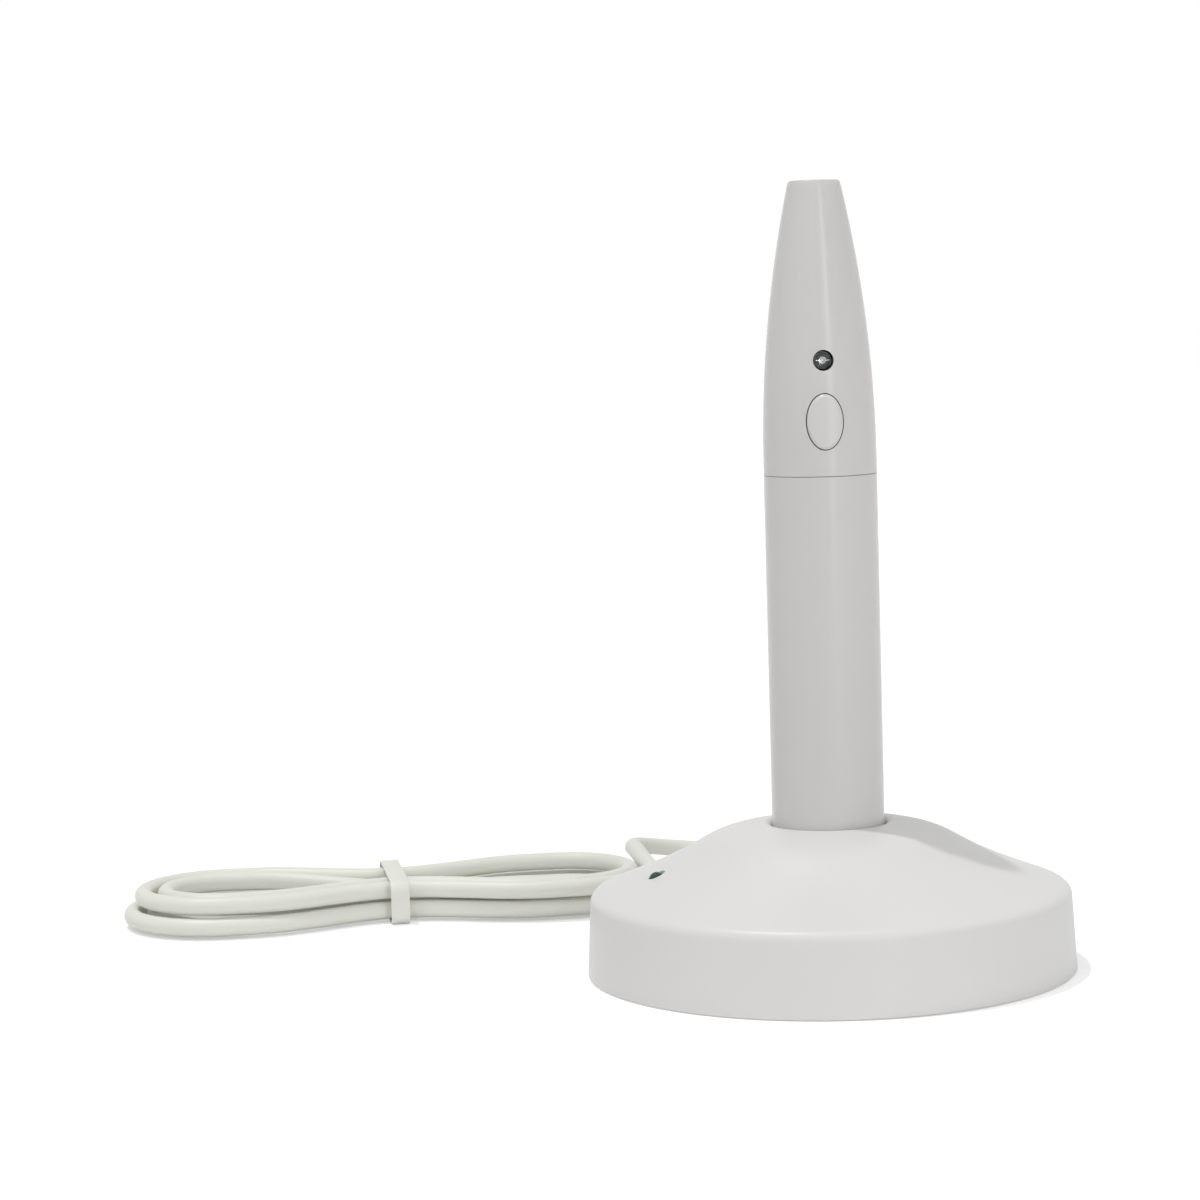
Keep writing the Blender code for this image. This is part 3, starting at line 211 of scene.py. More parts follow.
def startFinish(name, settings):
    material = bpy.data.materials.new(name)
    material.use_nodes = True
    shader = material.node_tree.nodes["Principled BSDF"]
    for key, value in settings.items():
        shader.inputs[key].default_value = value
    wire = Wire(material.node_tree)
    place = wire.node("ShaderNodeTexCoord", out="Object")
    return material, shader, wire, place


def noiseOf(wire, place, scale, detail=3.0, stretch=None):
    if stretch:
        place = wire.node("ShaderNodeMapping", {}, {"Vector": place, "Scale": stretch})
    return wire.node("ShaderNodeTexNoise", {}, {"Vector": place, "Scale": scale, "Detail": detail})


def around(noise, swing):  # a noise that swings evenly either side of nothing
    return (noise - 0.5) * swing


def bumpInto(wire, shader, height, distance):
    wire.node("ShaderNodeBump", {}, {"Height": height, "Distance": distance}).into(shader, "Normal")


# moulded plastic: spark-eroded grain, a little cloudiness, gloss that wanders
def mouldedFinish(name, colour, rough, grain=0.000012, cloud=0.02, warm=0.0, gloss=0.24):
    material, shader, wire, place = startFinish(name, {"Specular IOR Level": gloss})
    fine = noiseOf(wire, place, scale=2600.0, detail=4.0)
    pores = noiseOf(wire, place, scale=900.0, detail=2.0)
    broad = noiseOf(wire, place, scale=28.0, detail=2.0)
    low = (colour[0] * (1 - cloud), colour[1] * (1 - cloud), colour[2] * (1 - cloud - warm), 1.0)
    broad.mixed(low, shade(colour, 1 + cloud)).into(shader, "Base Color")
    (rough + around(fine, swing=0.10) + around(broad, swing=0.06)).into(shader, "Roughness")
    bumpInto(wire, shader, fine * 0.6 + pores * 0.4, grain)
    return material


# drawn or plated metal: fine lines along one axis and cloudy gloss
def metalFinish(name, colour, rough, stretch, lines=0.000006):
    material, shader, wire, place = startFinish(name, {"Metallic": 1.0})
    streak = noiseOf(wire, place, scale=1500.0, detail=4.0, stretch=stretch)
    cloud = noiseOf(wire, place, scale=260.0)
    cloud.mixed(shade(colour, 0.9), shade(colour, 1.06)).into(shader, "Base Color")
    (rough + around(streak, swing=0.18) + around(cloud, swing=0.12)).into(shader, "Roughness")
    bumpInto(wire, shader, streak, lines)
    return material


# rubber: matt, with dust in its pores
def rubberFinish(name, colour, rough, grain=0.00003):
    material, shader, wire, place = startFinish(name, {"Specular IOR Level": 0.3})
    fine = noiseOf(wire, place, scale=3200.0)
    dust = noiseOf(wire, place, scale=420.0, detail=5.0)
    (dust ** 2.0).mixed(shade(colour, 0.85), shade(colour, 1.5)).into(shader, "Base Color")
    (rough + around(fine, swing=0.15)).into(shader, "Roughness")
    bumpInto(wire, shader, fine, grain)
    return material


# board: laminate weave, copper runs under the lacquer
def boardFinish(name, colour, relief=0.00002):
    material, shader, wire, place = startFinish(name, {"Coat Roughness": 0.15})
    runs = wire.node("ShaderNodeTexBrick", {"offset": 0.37, "squash": 1.0},
                     {"Vector": place, "Color1": (0, 0, 0, 1), "Color2": (0, 0, 0, 1), "Mortar": (1, 1, 1, 1),
                      "Scale": 330.0, "Mortar Size": 0.07, "Brick Width": 1.4, "Row Height": 0.5}, 1)
    weave = wire.node("ShaderNodeTexChecker", {}, {"Vector": place, "Scale": 2600.0}, 1)
    runs.mixed(shade(colour, 1.0), shade(colour, 1.7)).into(shader, "Base Color")
    (0.42 - runs * 0.1 + weave * 0.06).into(shader, "Roughness")
    (0.3 + runs * 0.2).into(shader, "Coat Weight")
    bumpInto(wire, shader, runs + weave * 0.2, relief)
    return material


# shrunk sleeve of the cell: glossy film, wrinkled lengthways
def sleeveFinish(name, colour, relief=0.00008):
    material, shader, wire, place = startFinish(name, {"Coat Weight": 0.3, "Coat Roughness": 0.1})
    wrinkle = noiseOf(wire, place, scale=160.0, detail=4.0, stretch=(1.0, 1.0, 0.12))
    cloud = noiseOf(wire, place, scale=60.0)
    cloud.mixed(shade(colour, 0.85), shade(colour, 1.12)).into(shader, "Base Color")
    (0.3 + wrinkle * 0.15).into(shader, "Roughness")
    bumpInto(wire, shader, wrinkle, relief)
    return material


# lamp resin: clear or tinted, slightly hazy
def lampFinish(name, colour, clear, glow=0.0):
    material, shader, wire, place = startFinish(name, {"Transmission Weight": clear, "IOR": 1.45,
                                                       "Emission Strength": glow})
    haze = noiseOf(wire, place, scale=700.0, detail=2.0)
    haze.mixed(shade(colour, 0.92), shade(colour, 1.0)).into(shader, "Base Color")
    (0.05 + haze * 0.08).into(shader, "Roughness")
    haze.mixed(shade(colour, 0.8), shade(colour, 1.0)).into(shader, "Emission Color")
    return material


# jacket of the lead: soft vinyl with a fine grain and handling dullness
def jacketFinish(name, colour, grain=0.00002):
    material, shader, wire, place = startFinish(name, {"Specular IOR Level": 0.4})
    fine = noiseOf(wire, place, scale=2200.0)
    dull = noiseOf(wire, place, scale=55.0, detail=4.0)
    low = (colour[0] * 0.95, colour[1] * 0.95, colour[2] * 0.90, 1.0)
    dull.mixed(low, shade(colour, 1.02)).into(shader, "Base Color")
    (0.36 + dull * 0.14 + around(fine, swing=0.10)).into(shader, "Roughness")
    bumpInto(wire, shader, fine, grain)
    return material


finishes = {
    "shell_plastic": mouldedFinish("shellPlastic", (0.65, 0.64, 0.635), 0.25, warm=0.006, gloss=0.3),
    "base_plastic": mouldedFinish("basePlastic", (0.757, 0.749, 0.745), 0.40, warm=0.004, gloss=0.36),
    "button_plastic": mouldedFinish("buttonPlastic", (0.68, 0.67, 0.668), 0.3, warm=0.004, gloss=0.3),
    "dark_plastic": mouldedFinish("darkPlastic", (0.025, 0.025, 0.028), 0.45, grain=0.00002, cloud=0.08),
    "natural_plastic": mouldedFinish("naturalPlastic", (0.55, 0.54, 0.49), 0.5, grain=0.00002, cloud=0.04),
    "foot_rubber": rubberFinish("footRubber", (0.045, 0.045, 0.045), 0.8),
    "seal_rubber": rubberFinish("sealRubber", (0.35, 0.06, 0.04), 0.55),
    "zinc_steel": metalFinish("zincSteel", (0.62, 0.63, 0.65), 0.34, stretch=(1.0, 1.0, 0.1)),
    "gold_plate": metalFinish("goldPlate", (0.83, 0.62, 0.26), 0.24, stretch=(1.0, 1.0, 0.1)),
    "nickel_plate": metalFinish("nickelPlate", (0.66, 0.64, 0.60), 0.26, stretch=(0.1, 1.0, 1.0)),
    "board_laminate": boardFinish("boardLaminate", (0.02, 0.12, 0.06)),
    "cell_sleeve": sleeveFinish("cellSleeve", (0.09, 0.22, 0.52)),
    "lamp_clear": lampFinish("lampClear", (0.92, 0.94, 0.95), clear=1.0),
    "lamp_green": lampFinish("lampGreen", (0.008, 0.085, 0.042), clear=0.3, glow=0.02),
    "cord_jacket": jacketFinish("cordJacket", (0.82, 0.826, 0.775)),
}
print("finishes made,", len(finishes))


# what each piece is made of, whose body it rides on and which nodes it stands for
def settle(piece, body, slot, *stands):
    piece.data.materials.clear()
    piece.data.materials.append(finishes[slot])
    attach(piece, body)
    if stands:
        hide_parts(*stands)
    return piece


# modelling by operators
weld = 0.000002  # points closer than this, in metres, become one


def makeActive(piece):
    deselect()
    piece.select_set(True)
    bpy.context.view_layer.objects.active = piece


def smoothEdges(piece, angle=35):
    makeActive(piece)
    bpy.ops.object.shade_smooth_by_angle(angle=math.radians(angle))


# one point drawn out along a line
def drawn(name, spots):
    deselect()
    bpy.ops.mesh.primitive_plane_add(size=mm, location=(0, 0, 0))
    piece = bpy.context.object
    piece.name = name
    piece.data.name = name
    bpy.ops.object.mode_set(mode="EDIT")
    bpy.ops.mesh.select_mode(type="VERT")
    bpy.ops.mesh.select_all(action="SELECT")
    bpy.ops.mesh.merge(type="CENTER")
    bpy.ops.transform.translate(value=spots[0])
    for a, b in zip(spots, spots[1:]):
        bpy.ops.mesh.extrude_vertices_move(TRANSFORM_OT_translate={"value": b - a})
    bpy.ops.mesh.select_all(action="SELECT")
    bpy.ops.mesh.remove_doubles(threshold=weld)
    bpy.ops.mesh.select_all(action="SELECT")
    return piece


# a line of (radius, height) spun round an axis
def spun(name, line, steps, axis="Z", centre=(0.0, 0.0, 0.0), closed=True):
    middle = Vector(centre)

    def spot(radius, height):
        if axis == "Z":
            return (middle + Vector((radius, 0, height))) * mm
        return (middle + Vector((radius, height, 0))) * mm

    piece = drawn(name, [spot(r, h) for r, h in (line + line[:1] if closed else line)])
    way = (0, 0, 1) if axis == "Z" else (0, 1, 0)
    bpy.ops.mesh.spin(steps=steps, angle=2 * math.pi, center=middle * mm, axis=way)
    bpy.ops.mesh.select_all(action="SELECT")
    bpy.ops.mesh.remove_doubles(threshold=weld)
    bpy.ops.mesh.normals_make_consistent(inside=False)
    bpy.ops.object.mode_set(mode="OBJECT")
    smoothEdges(piece)
    return piece


def applyAll(piece):
    makeActive(piece)
    for step in list(piece.modifiers):
        bpy.ops.object.modifier_apply(modifier=step.name)


def applyPlace(piece):
    makeActive(piece)
    bpy.ops.object.transform_apply(location=True, rotation=True, scale=True)


def cutWith(piece, tool, operation="DIFFERENCE"):
    step = piece.modifiers.new("cut", "BOOLEAN")
    step.operation = operation
    step.solver = "EXACT"
    step.object = tool
    applyAll(piece)
    bpy.data.objects.remove(tool)
    smoothEdges(piece)


# round bar for holes and bosses, along Z or Y; with a tall radius it is an oval along Y
def bar(radius, low, high, centre, axis="Z", tall=None, sides=64):
    deselect()
    middle = (low + high) / 2
    place = (centre[0], centre[1], middle) if axis == "Z" else (centre[0], middle, centre[1])
    turn = (0, 0, 0) if axis == "Z" else (math.pi / 2, 0, 0)
    bpy.ops.mesh.primitive_cylinder_add(vertices=sides, radius=radius * mm, depth=(high - low) * mm,
                                        location=[v * mm for v in place], rotation=turn)
    tool = bpy.context.object
    if tall:
        tool.scale = (1, tall / radius, 1)
    applyPlace(tool)
    return tool


def block(name, low, high):
    deselect()
    bpy.ops.mesh.primitive_cube_add(size=1.0, location=[(a + b) / 2 * mm for a, b in zip(low, high)])
    piece = bpy.context.object
    piece.name = name
    piece.scale = [(b - a) * mm for a, b in zip(low, high)]
    applyPlace(piece)
    return piece


def bevelled(piece, width, segments=3, angle=40, smooth=35, profile=0.5):
    step = piece.modifiers.new("edges", "BEVEL")
    step.width = width * mm
    step.segments = segments
    step.profile = profile
    step.limit_method = "ANGLE"
    step.angle_limit = math.radians(angle)
    applyAll(piece)
    smoothEdges(piece, smooth)
    return piece


def joined(pieces):
    deselect()
    for piece in pieces:
        piece.select_set(True)
    bpy.context.view_layer.objects.active = pieces[0]
    bpy.ops.object.join()
    return bpy.context.object


def between(first, last, count):
    return [first + (last - first) * i / count for i in range(count + 1)]


def arc(r, z, radius, start, end, count):  # points of a round corner, angles in degrees
    points = []
    for angle in between(start, end, count):
        a = math.radians(angle)
        points.append((r + radius * math.cos(a), z + radius * math.sin(a)))
    return points


def dome(radius, tip, fall, count):  # points from the crown of a lamp down to its side
    points = []
    for angle in between(0, 90, count):
        a = math.radians(angle)
        points.append((radius * math.sin(a), tip + fall * (1 - math.cos(a))))
    return points


# base: bell, skirt and socket in one moulding
bellSet = {"bore": 11.15, "lip": 1.5, "top": 29.4, "rim": 45.6, "skirtTop": 16.5, "hubPull": (0.5, 0.077),
           "rimPull": (0.79, 0.294), "rimRound": 1.6, "rimFall": 0.372, "radius": 48.0, "foot": 0.15,
           "footRound": 0.3, "wall": 2.2, "underLip": 0.3, "sleeve": 12.95, "floorLow": 6.4,
           "floorHigh": 8.0, "blockHole": 8.5, "lamp": (-34.34, -5.62), "lampHole": 1.65,
           "lampCut": (14.0, 30.0), "leadHeight": 8.5, "leadHole": 3.3, "leadCut": (41.0, 52.0),
           "bossCircle": 36.5, "bossRadius": 3.05, "bossLow": 3.5, "bossHigh": 18.0, "bossSides": 32,
           "screwHole": 1.55, "screwDepth": 12.1, "steps": 240}
hubRadius = bellSet["bore"] + bellSet["lip"]
bellSpan = bellSet["rim"] - hubRadius


def bellLine(count):
    hub = Vector((hubRadius, bellSet["top"], 0))
    rim = Vector((bellSet["rim"], bellSet["skirtTop"], 0))
    hubPull = Vector((bellSet["hubPull"][0], -bellSet["hubPull"][1], 0)) * bellSpan
    rimPull = Vector((-bellSet["rimPull"][0], bellSet["rimPull"][1], 0)) * bellSpan
    return interpolate_bezier(hub, hub + hubPull, rim + rimPull, rim, count)


def makeBase():
    s = bellSet
    line = arc(hubRadius, s["top"] - s["lip"], s["lip"], 180, 90, 6)[:-1]
    line += [(p.x, p.y) for p in bellLine(60)]
    edge = s["rim"] + s["rimRound"]
    corner = s["skirtTop"] - s["rimFall"] * s["rimRound"]
    start = Vector((s["rim"], s["skirtTop"], 0))
    middle = Vector((edge, corner, 0))
    end = Vector((edge, corner - s["rimRound"], 0))
    for t in between(0, 1, 8)[1:]:  # the bell rolls over into the skirt
        spot = start * (1 - t) ** 2 + middle * 2 * t * (1 - t) + end * t * t
        line.append((spot.x, spot.y))
    slope = (s["radius"] - edge) / (end.y - s["foot"])
    footTop = s["foot"] + s["footRound"]
    line += [(edge + slope * (end.y - z), z) for z in between(end.y, footTop, 5)[1:]]
    line += arc(s["radius"] - s["footRound"], footTop, s["footRound"], 0, -90, 3)[1:]
    inner = edge - s["wall"]
    line += [(s["radius"] - s["wall"], s["foot"]), (inner, s["skirtTop"] - s["wall"])]
    line += [(p.x, p.y - s["wall"]) for p in reversed(bellLine(16)) if s["sleeve"] < p.x < inner]
    line += [(s["sleeve"], s["top"] - s["wall"] - s["underLip"]), (s["sleeve"], s["floorLow"]),
             (s["blockHole"], s["floorLow"]), (s["blockHole"], s["floorHigh"]), (s["bore"], s["floorHigh"])]
    base = spun("baseBell", line, s["steps"])
    for i in range(4):  # screw bosses under the bell
        angle = math.radians(45 + 90 * i)
        spot = (s["bossCircle"] * math.cos(angle), s["bossCircle"] * math.sin(angle))
        boss = bar(s["bossRadius"], s["bossLow"], s["bossHigh"], spot, sides=s["bossSides"])
        cutWith(base, boss, "UNION")
        cutWith(base, bar(s["screwHole"], 0.0, s["screwDepth"], spot, sides=s["bossSides"]))
    cutWith(base, bar(s["lampHole"], *s["lampCut"], s["lamp"]))
    cutWith(base, bar(s["leadHole"], *s["leadCut"], (0.0, s["leadHeight"]), "Y"))
    return base


settle(makeBase(), "base", "base_plastic", "base_housing")
print("base made")


# nose: tapering shell with the tip bore, and the spigot that screws into the barrel
noseSet = {"top": 154.2, "shoulder": 97.6, "straight": 100.1, "radius": 11.0, "tip": 5.0, "tipEase": 0.2,
           "wall": 1.6, "bore": 3.7, "boreEdge": 0.4, "step": 144.0, "cavity": 3.3, "parting": 0.07,
           "spigot": 9.3, "spigotBore": 7.6, "spigotLow": 90.2, "spigotEdge": 0.5, "spigotTop": 1.5,
           "groove": (8.4, 95.4, 97.0), "button": 108.05, "buttonSize": (6.9, 10.56), "buttonGap": 0.2,
           "buttonSides": 96, "lamp": 119.75, "lampHole": 2.0, "cut": (-13.5, -5.0), "steps": 192}


def noseRadius(z):
    s = noseSet
    share = max(0.0, (z - s["straight"]) / (s["top"] - s["straight"]))
    return s["radius"] - (s["radius"] - s["tip"]) * share * share


def makeNose():
    s = noseSet
    edge = s["boreEdge"]
    line = arc(s["bore"] + edge, s["top"] - edge, edge, 180, 90, 3)
    line += arc(s["tip"] - edge, s["top"] - edge, edge, 90, 15, 4)
    line += [(noseRadius(z), z) for z in between(s["top"] - edge - s["tipEase"], s["straight"], 88)]
    line += [(s["radius"], s["shoulder"] + s["parting"]), (s["radius"] - s["parting"], s["shoulder"]),
             (s["spigot"], s["shoulder"])]
    floor, low, high = s["groove"]
    line += [(s["spigot"], high), (floor, high), (floor, low), (s["spigot"], low)]
    line += [(s["spigot"], s["spigotLow"] + s["spigotEdge"]), (s["spigot"] - s["spigotEdge"], s["spigotLow"]),
             (s["spigotBore"], s["spigotLow"]), (s["spigotBore"], s["shoulder"] + s["spigotTop"])]
    line += [(noseRadius(z) - s["wall"], z) for z in between(s["shoulder"] + s["cavity"], s["step"], 24)]
    line.append((s["bore"], s["step"]))
    nose = spun("noseShell", line, s["steps"])
    wide = s["buttonSize"][0] / 2 + s["buttonGap"]
    tall = s["buttonSize"][1] / 2 + s["buttonGap"]
    cutWith(nose, bar(wide, *s["cut"], (0.0, s["button"]), "Y", tall, s["buttonSides"]))
    cutWith(nose, bar(s["lampHole"], *s["cut"], (0.0, s["lamp"]), "Y"))
    return nose


settle(makeNose(), "front", "shell_plastic", "front_shell")
print("nose made")


# barrel
barrelSet = {"radius": 11.0, "bore": 9.6, "low": 8.3, "high": 97.51, "edge": 0.7, "parting": 0.07,
             "sealBore": 10.0, "sealLow": 94.9, "sealEase": 0.4, "steps": 192}


def makeBarrel():
    s = barrelSet
    low = s["low"] + s["edge"]
    line = [(s["bore"], s["low"])] + arc(s["radius"] - s["edge"], low, s["edge"], -90, 0, 5)
    line += [(s["radius"], z) for z in between(low, s["high"] - s["parting"], 30)[1:]]
    line += [(s["radius"] - s["parting"], s["high"]), (s["sealBore"], s["high"]),
             (s["sealBore"], s["sealLow"]), (s["bore"], s["sealLow"] - s["sealEase"])]
    return spun("gripBarrel", line, s["steps"])


settle(makeBarrel(), "barrel", "shell_plastic", "rear_barrel")

# rubber ring in the spigot groove
sealSet = {"middle": 9.2, "height": 96.2, "section": 0.5, "sides": 16, "steps": 128}
sealEnd = 360 - 360 / sealSet["sides"]
sealLine = arc(sealSet["middle"], sealSet["height"], sealSet["section"], 0, sealEnd, sealSet["sides"] - 1)
settle(spun("sealRing", sealLine, sealSet["steps"]), "seal", "seal_rubber", "seal_ring")


# button: oval pad wrapped on the nose's curve, then its wall drawn back and its rim eased
buttonSet = {"proud": 0.7, "rings": 5, "depth": 3.8, "rim": 0.5, "rimSteps": 2, "rimProfile": 0.3,
             "rimAngle": 50, "smooth": 30, "start": -14.0, "crownHalf": 9.0, "crownRows": 72,
             "crownSteps": 720}


def makeButton():
    s = buttonSet
    z = noseSet["button"]
    low, high = z - s["crownHalf"], z + s["crownHalf"]
    crownLine = [(noseRadius(h) + s["proud"], h) for h in between(high, low, s["crownRows"])]
    crown = spun("buttonCrown", [(0.0, high)] + crownLine + [(0.0, low)], s["crownSteps"])
    middle = (0, s["start"] * mm, z * mm)
    deselect()
    bpy.ops.mesh.primitive_circle_add(vertices=noseSet["buttonSides"], radius=mm, fill_type="NGON",
                                      location=middle, rotation=(math.pi / 2, 0, 0))
    button = bpy.context.object
    button.name = "powerButton"
    button.scale = (noseSet["buttonSize"][0] / 2, noseSet["buttonSize"][1] / 2, 1)
    applyPlace(button)
    bpy.ops.object.mode_set(mode="EDIT")
    bpy.ops.mesh.select_mode(type="FACE")
    bpy.ops.mesh.select_all(action="SELECT")
    for i in range(s["rings"], 0, -1):  # rings shrink towards the middle
        bpy.ops.mesh.inset(thickness=0.0)
        share = i / (i + 1)
        bpy.ops.transform.resize(value=(share, 1, share), center_override=middle)
    bpy.ops.object.mode_set(mode="OBJECT")
    wrap = button.modifiers.new("wrap", "SHRINKWRAP")
    wrap.target = crown
    wrap.wrap_method = "PROJECT"
    wrap.use_project_y = True
    wrap.use_positive_direction = True
    wrap.use_negative_direction = False
    applyAll(button)
    bpy.data.objects.remove(crown)
    makeActive(button)
    bpy.ops.object.mode_set(mode="EDIT")
    bpy.ops.mesh.select_mode(type="EDGE")
    bpy.ops.mesh.select_all(action="SELECT")
    bpy.ops.mesh.region_to_loop()
    bpy.ops.mesh.extrude_edges_move(TRANSFORM_OT_translate={"value": (0, s["depth"] * mm, 0)})
    bpy.ops.mesh.edge_face_add()
    bpy.ops.mesh.select_all(action="SELECT")
    bpy.ops.mesh.normals_make_consistent(inside=False)
    bpy.ops.object.mode_set(mode="OBJECT")
    return bevelled(button, s["rim"], s["rimSteps"], s["rimAngle"], s["smooth"], s["rimProfile"])


settle(makeButton(), "button", "button_plastic", "power_button")
print("barrel, seal and button made")


# status lamp: clear dome in a dark holder, bright cup and leads behind it; the holder's black is also painted
# shade down the lamp hole
lensSet = {"radius": 1.7, "tip": 9.98, "dome": 0.75, "back": 8.42, "face": 8.26, "recess": 7.86, "ease": 0.1,
           "flange": 2.15, "flangeTop": 5.18, "base": 4.18, "cup": 0.5, "cupGap": 0.04, "cupProud": 0.1,
           "cupLip": 0.1, "cupDepth": 0.32, "cupFloor": 0.2, "cupLift": 0.05, "wingGap": 0.02,
           "wingEnd": 1.0, "wingWide": 0.16, "wingEdge": 0.04, "legAside": 0.6, "legWide": 0.4,
           "legSink": 0.3, "legEnd": 2.9, "steps": 64, "cupSteps": 48}
lampCentre = (0.0, 0.0, noseSet["lamp"])


def makeLens():
    s = lensSet
    line = dome(s["radius"], -s["tip"], s["radius"] * s["dome"], 12)
    line += [(s["radius"], -s["back"] - s["ease"]), (s["radius"] - s["ease"], -s["back"]), (0.0, -s["back"])]
    return spun("statusLens", line, s["steps"], "Y", lampCentre, closed=False)


# holder behind the lens in black plastic: partly a real holder, partly painted shade inside the hole round
# the lamp
def makeHolderAndHoleShade():
    s = lensSet
    rim = s["cup"] + s["cupGap"]
    line = [(0.0, -s["recess"]), (rim, -s["recess"]), (rim, -s["face"]),
            (s["radius"] - s["ease"], -s["face"]), (s["radius"], s["ease"] - s["face"]),
            (s["radius"], -s["flangeTop"]), (s["flange"], -s["flangeTop"]), (s["flange"], -s["base"]),
            (0.0, -s["base"])]
    return spun("statusHolderAndHoleShade", line, s["steps"], "Y", lampCentre, closed=False)


def makeStar():
    s = lensSet
    z = noseSet["lamp"]
    front = -s["face"] - s["cupProud"]
    floor = front + s["cupDepth"]
    back = s["cupLift"] - s["recess"]
    line = [(0.0, floor), (s["cupFloor"], floor), (s["cup"] - s["cupLip"], front), (s["cup"], front),
            (s["cup"], back), (0.0, back)]
    pieces = [spun("statusStar", line, s["cupSteps"], "Y", lampCentre, closed=False)]
    for side in (-1, 1):  # lead frame either side of the cup, and the legs to the board
        low, high = sorted((side * (s["cup"] + s["wingGap"]), side * s["wingEnd"]))
        half = s["wingWide"] / 2
        wing = block("wing", (low, front, z - half), (high, s["ease"] - s["face"], z + half))
        pieces.append(bevelled(wing, s["wingEdge"], 2))
        x = side * s["legAside"]
        half = s["legWide"] / 2
        root = -s["base"] - s["legSink"]
        pieces.append(block("leg", (x - half, root, z - half), (x + half, -s["legEnd"], z + half)))
    return joined(pieces)


settle(makeLens(), "front", "lamp_clear", "status_lens")
# black holder: a real part whose black also paints the shade down the lamp hole
settle(makeHolderAndHoleShade(), "front", "dark_plastic", "status_lens")
settle(makeStar(), "front", "nickel_plate", "status_frame")

# green lamp under the bell
glowSet = {"radius": 1.56, "tip": 21.45, "flangeTop": 15.35, "flange": 1.9, "low": 14.35, "legAside": 0.85,
           "legWide": 0.5, "legSink": 0.5, "legEnd": 11.4, "steps": 48}


def makeGlow():
    s = glowSet
    line = dome(s["radius"], s["tip"], -s["radius"], 10)
    line += [(s["radius"], s["flangeTop"]), (s["flange"], s["flangeTop"]), (s["flange"], s["low"]),
             (0.0, s["low"])]
    middle, y = bellSet["lamp"]
    lamp = spun("chargeGlow", line, s["steps"], "Z", (middle, y, 0.0), closed=False)
    half = s["legWide"] / 2
    for side in (-1, 1):
        x = middle + side * s["legAside"]
        leg = block("leg", (x - half, y - half, s["legEnd"]), (x + half, y + half, s["low"] + s["legSink"]))
        cutWith(lamp, leg, "UNION")
    return lamp


settle(makeGlow(), "base", "lamp_green", "charge_lamp")

# tip socket seen down the nose: dark block, two gilt sleeves
socketSet = {"seat": 146.0, "radius": 3.4, "edge": 0.25, "flange": 5.149, "flangeTop": 143.7,
             "flangeLow": 140.5, "aside": 2.0, "hole": 1.1, "holeSides": 48, "past": 2.0, "steps": 96}


def makeSocket():
    s = socketSet
    line = [(0.0, s["seat"]), (s["radius"] - s["edge"], s["seat"]), (s["radius"], s["seat"] - s["edge"]),
            (s["radius"], s["flangeTop"]), (s["flange"], s["flangeTop"]), (s["flange"], s["flangeLow"]),
            (0.0, s["flangeLow"])]
    socket = spun("tipBlock", line, s["steps"], closed=False)
    low, high = s["flangeLow"] - s["past"], s["seat"] + s["past"]
    for x in (-s["aside"], s["aside"]):
        cutWith(socket, bar(s["hole"], low, high, (x, 0.0), sides=s["holeSides"]))
    return socket


sleeveSet = {"radius": 0.8, "bore": 0.5, "low": 138.2, "floor": 1.0, "sunk": 0.3, "mouth": (0.12, 0.15),
             "collar": 0.5, "collarTop": 0.3, "collarLow": 1.3, "steps": 40}


def makeSleeve(name, x):
    s = sleeveSet
    high = socketSet["seat"] - s["sunk"]
    floor = s["low"] + s["floor"]
    wider, deep = s["mouth"]
    collar = s["radius"] + s["collar"]
    top, low = socketSet["flangeLow"] - s["collarTop"], socketSet["flangeLow"] - s["collarLow"]
    line = [(0.0, floor), (s["bore"], floor), (s["bore"], high - deep), (s["bore"] + wider, high),
            (s["radius"], high), (s["radius"], top), (collar, top), (collar, low), (s["radius"], low),
            (s["radius"], s["low"]), (0.0, s["low"])]
    return spun(name, line, s["steps"], "Z", (x, 0.0, 0.0), closed=False)


settle(makeSocket(), "front", "dark_plastic", "tip_socket")
settle(makeSleeve("sleeveLeft", -socketSet["aside"]), "front", "gold_plate", "socket_sleeve_left")
settle(makeSleeve("sleeveRight", socketSet["aside"]), "front", "gold_plate", "socket_sleeve_right")
print("lamps and tip socket made")


# strain relief through the skirt
reliefSet = {"lipFace": 43.66, "lip": 4.5, "inside": 44.86, "neck": 3.0, "collarFace": 47.89, "collar": 4.1,
             "collarEnd": 49.29, "nearEdge": 0.3, "farEdge": 0.4, "end": 61.89, "ribs": 3,
             "narrowing": 0.2333, "body": 3.3, "depth": 0.5, "groove": 0.35, "grooveEase": (0.1, 0.2),
             "ribNear": 0.35, "ribFar": 0.4, "ribFall": 0.45, "steps": 64}


def makeRelief():
    s = reliefSet
    line = [(0.0, s["lipFace"]), (s["lip"], s["lipFace"]), (s["lip"], s["inside"]), (s["neck"], s["inside"]),
            (s["neck"], s["collarFace"])]
    line += arc(s["collar"] - s["nearEdge"], s["collarFace"] + s["nearEdge"], s["nearEdge"], -90, 0, 3)
    line += arc(s["collar"] - s["farEdge"], s["collarEnd"] - s["farEdge"], s["farEdge"], 0, 90, 3)
    pitch = (s["end"] - s["collarEnd"]) / s["ribs"]
    easeIn, easeOut = s["grooveEase"]
    for i in range(s["ribs"]):
        start = s["collarEnd"] + pitch * i
        body = s["body"] - s["narrowing"] * i
        groove = start + pitch * s["groove"]
        line += [(body - s["depth"], start + easeIn), (body - s["depth"], groove - easeOut)]
        line += arc(body - s["ribNear"], groove + s["ribNear"], s["ribNear"], -70, 0, 3)
        line += arc(body - s["ribFall"], start + pitch - s["ribFar"], s["ribFar"], 0, 75, 3)
    line.append((0.0, s["end"]))
    return spun("leadRelief", line, s["steps"], "Y", (0.0, 0.0, bellSet["leadHeight"]), closed=False)


leadRelief = settle(makeRelief(), "base", "cord_jacket", "cord_relief")


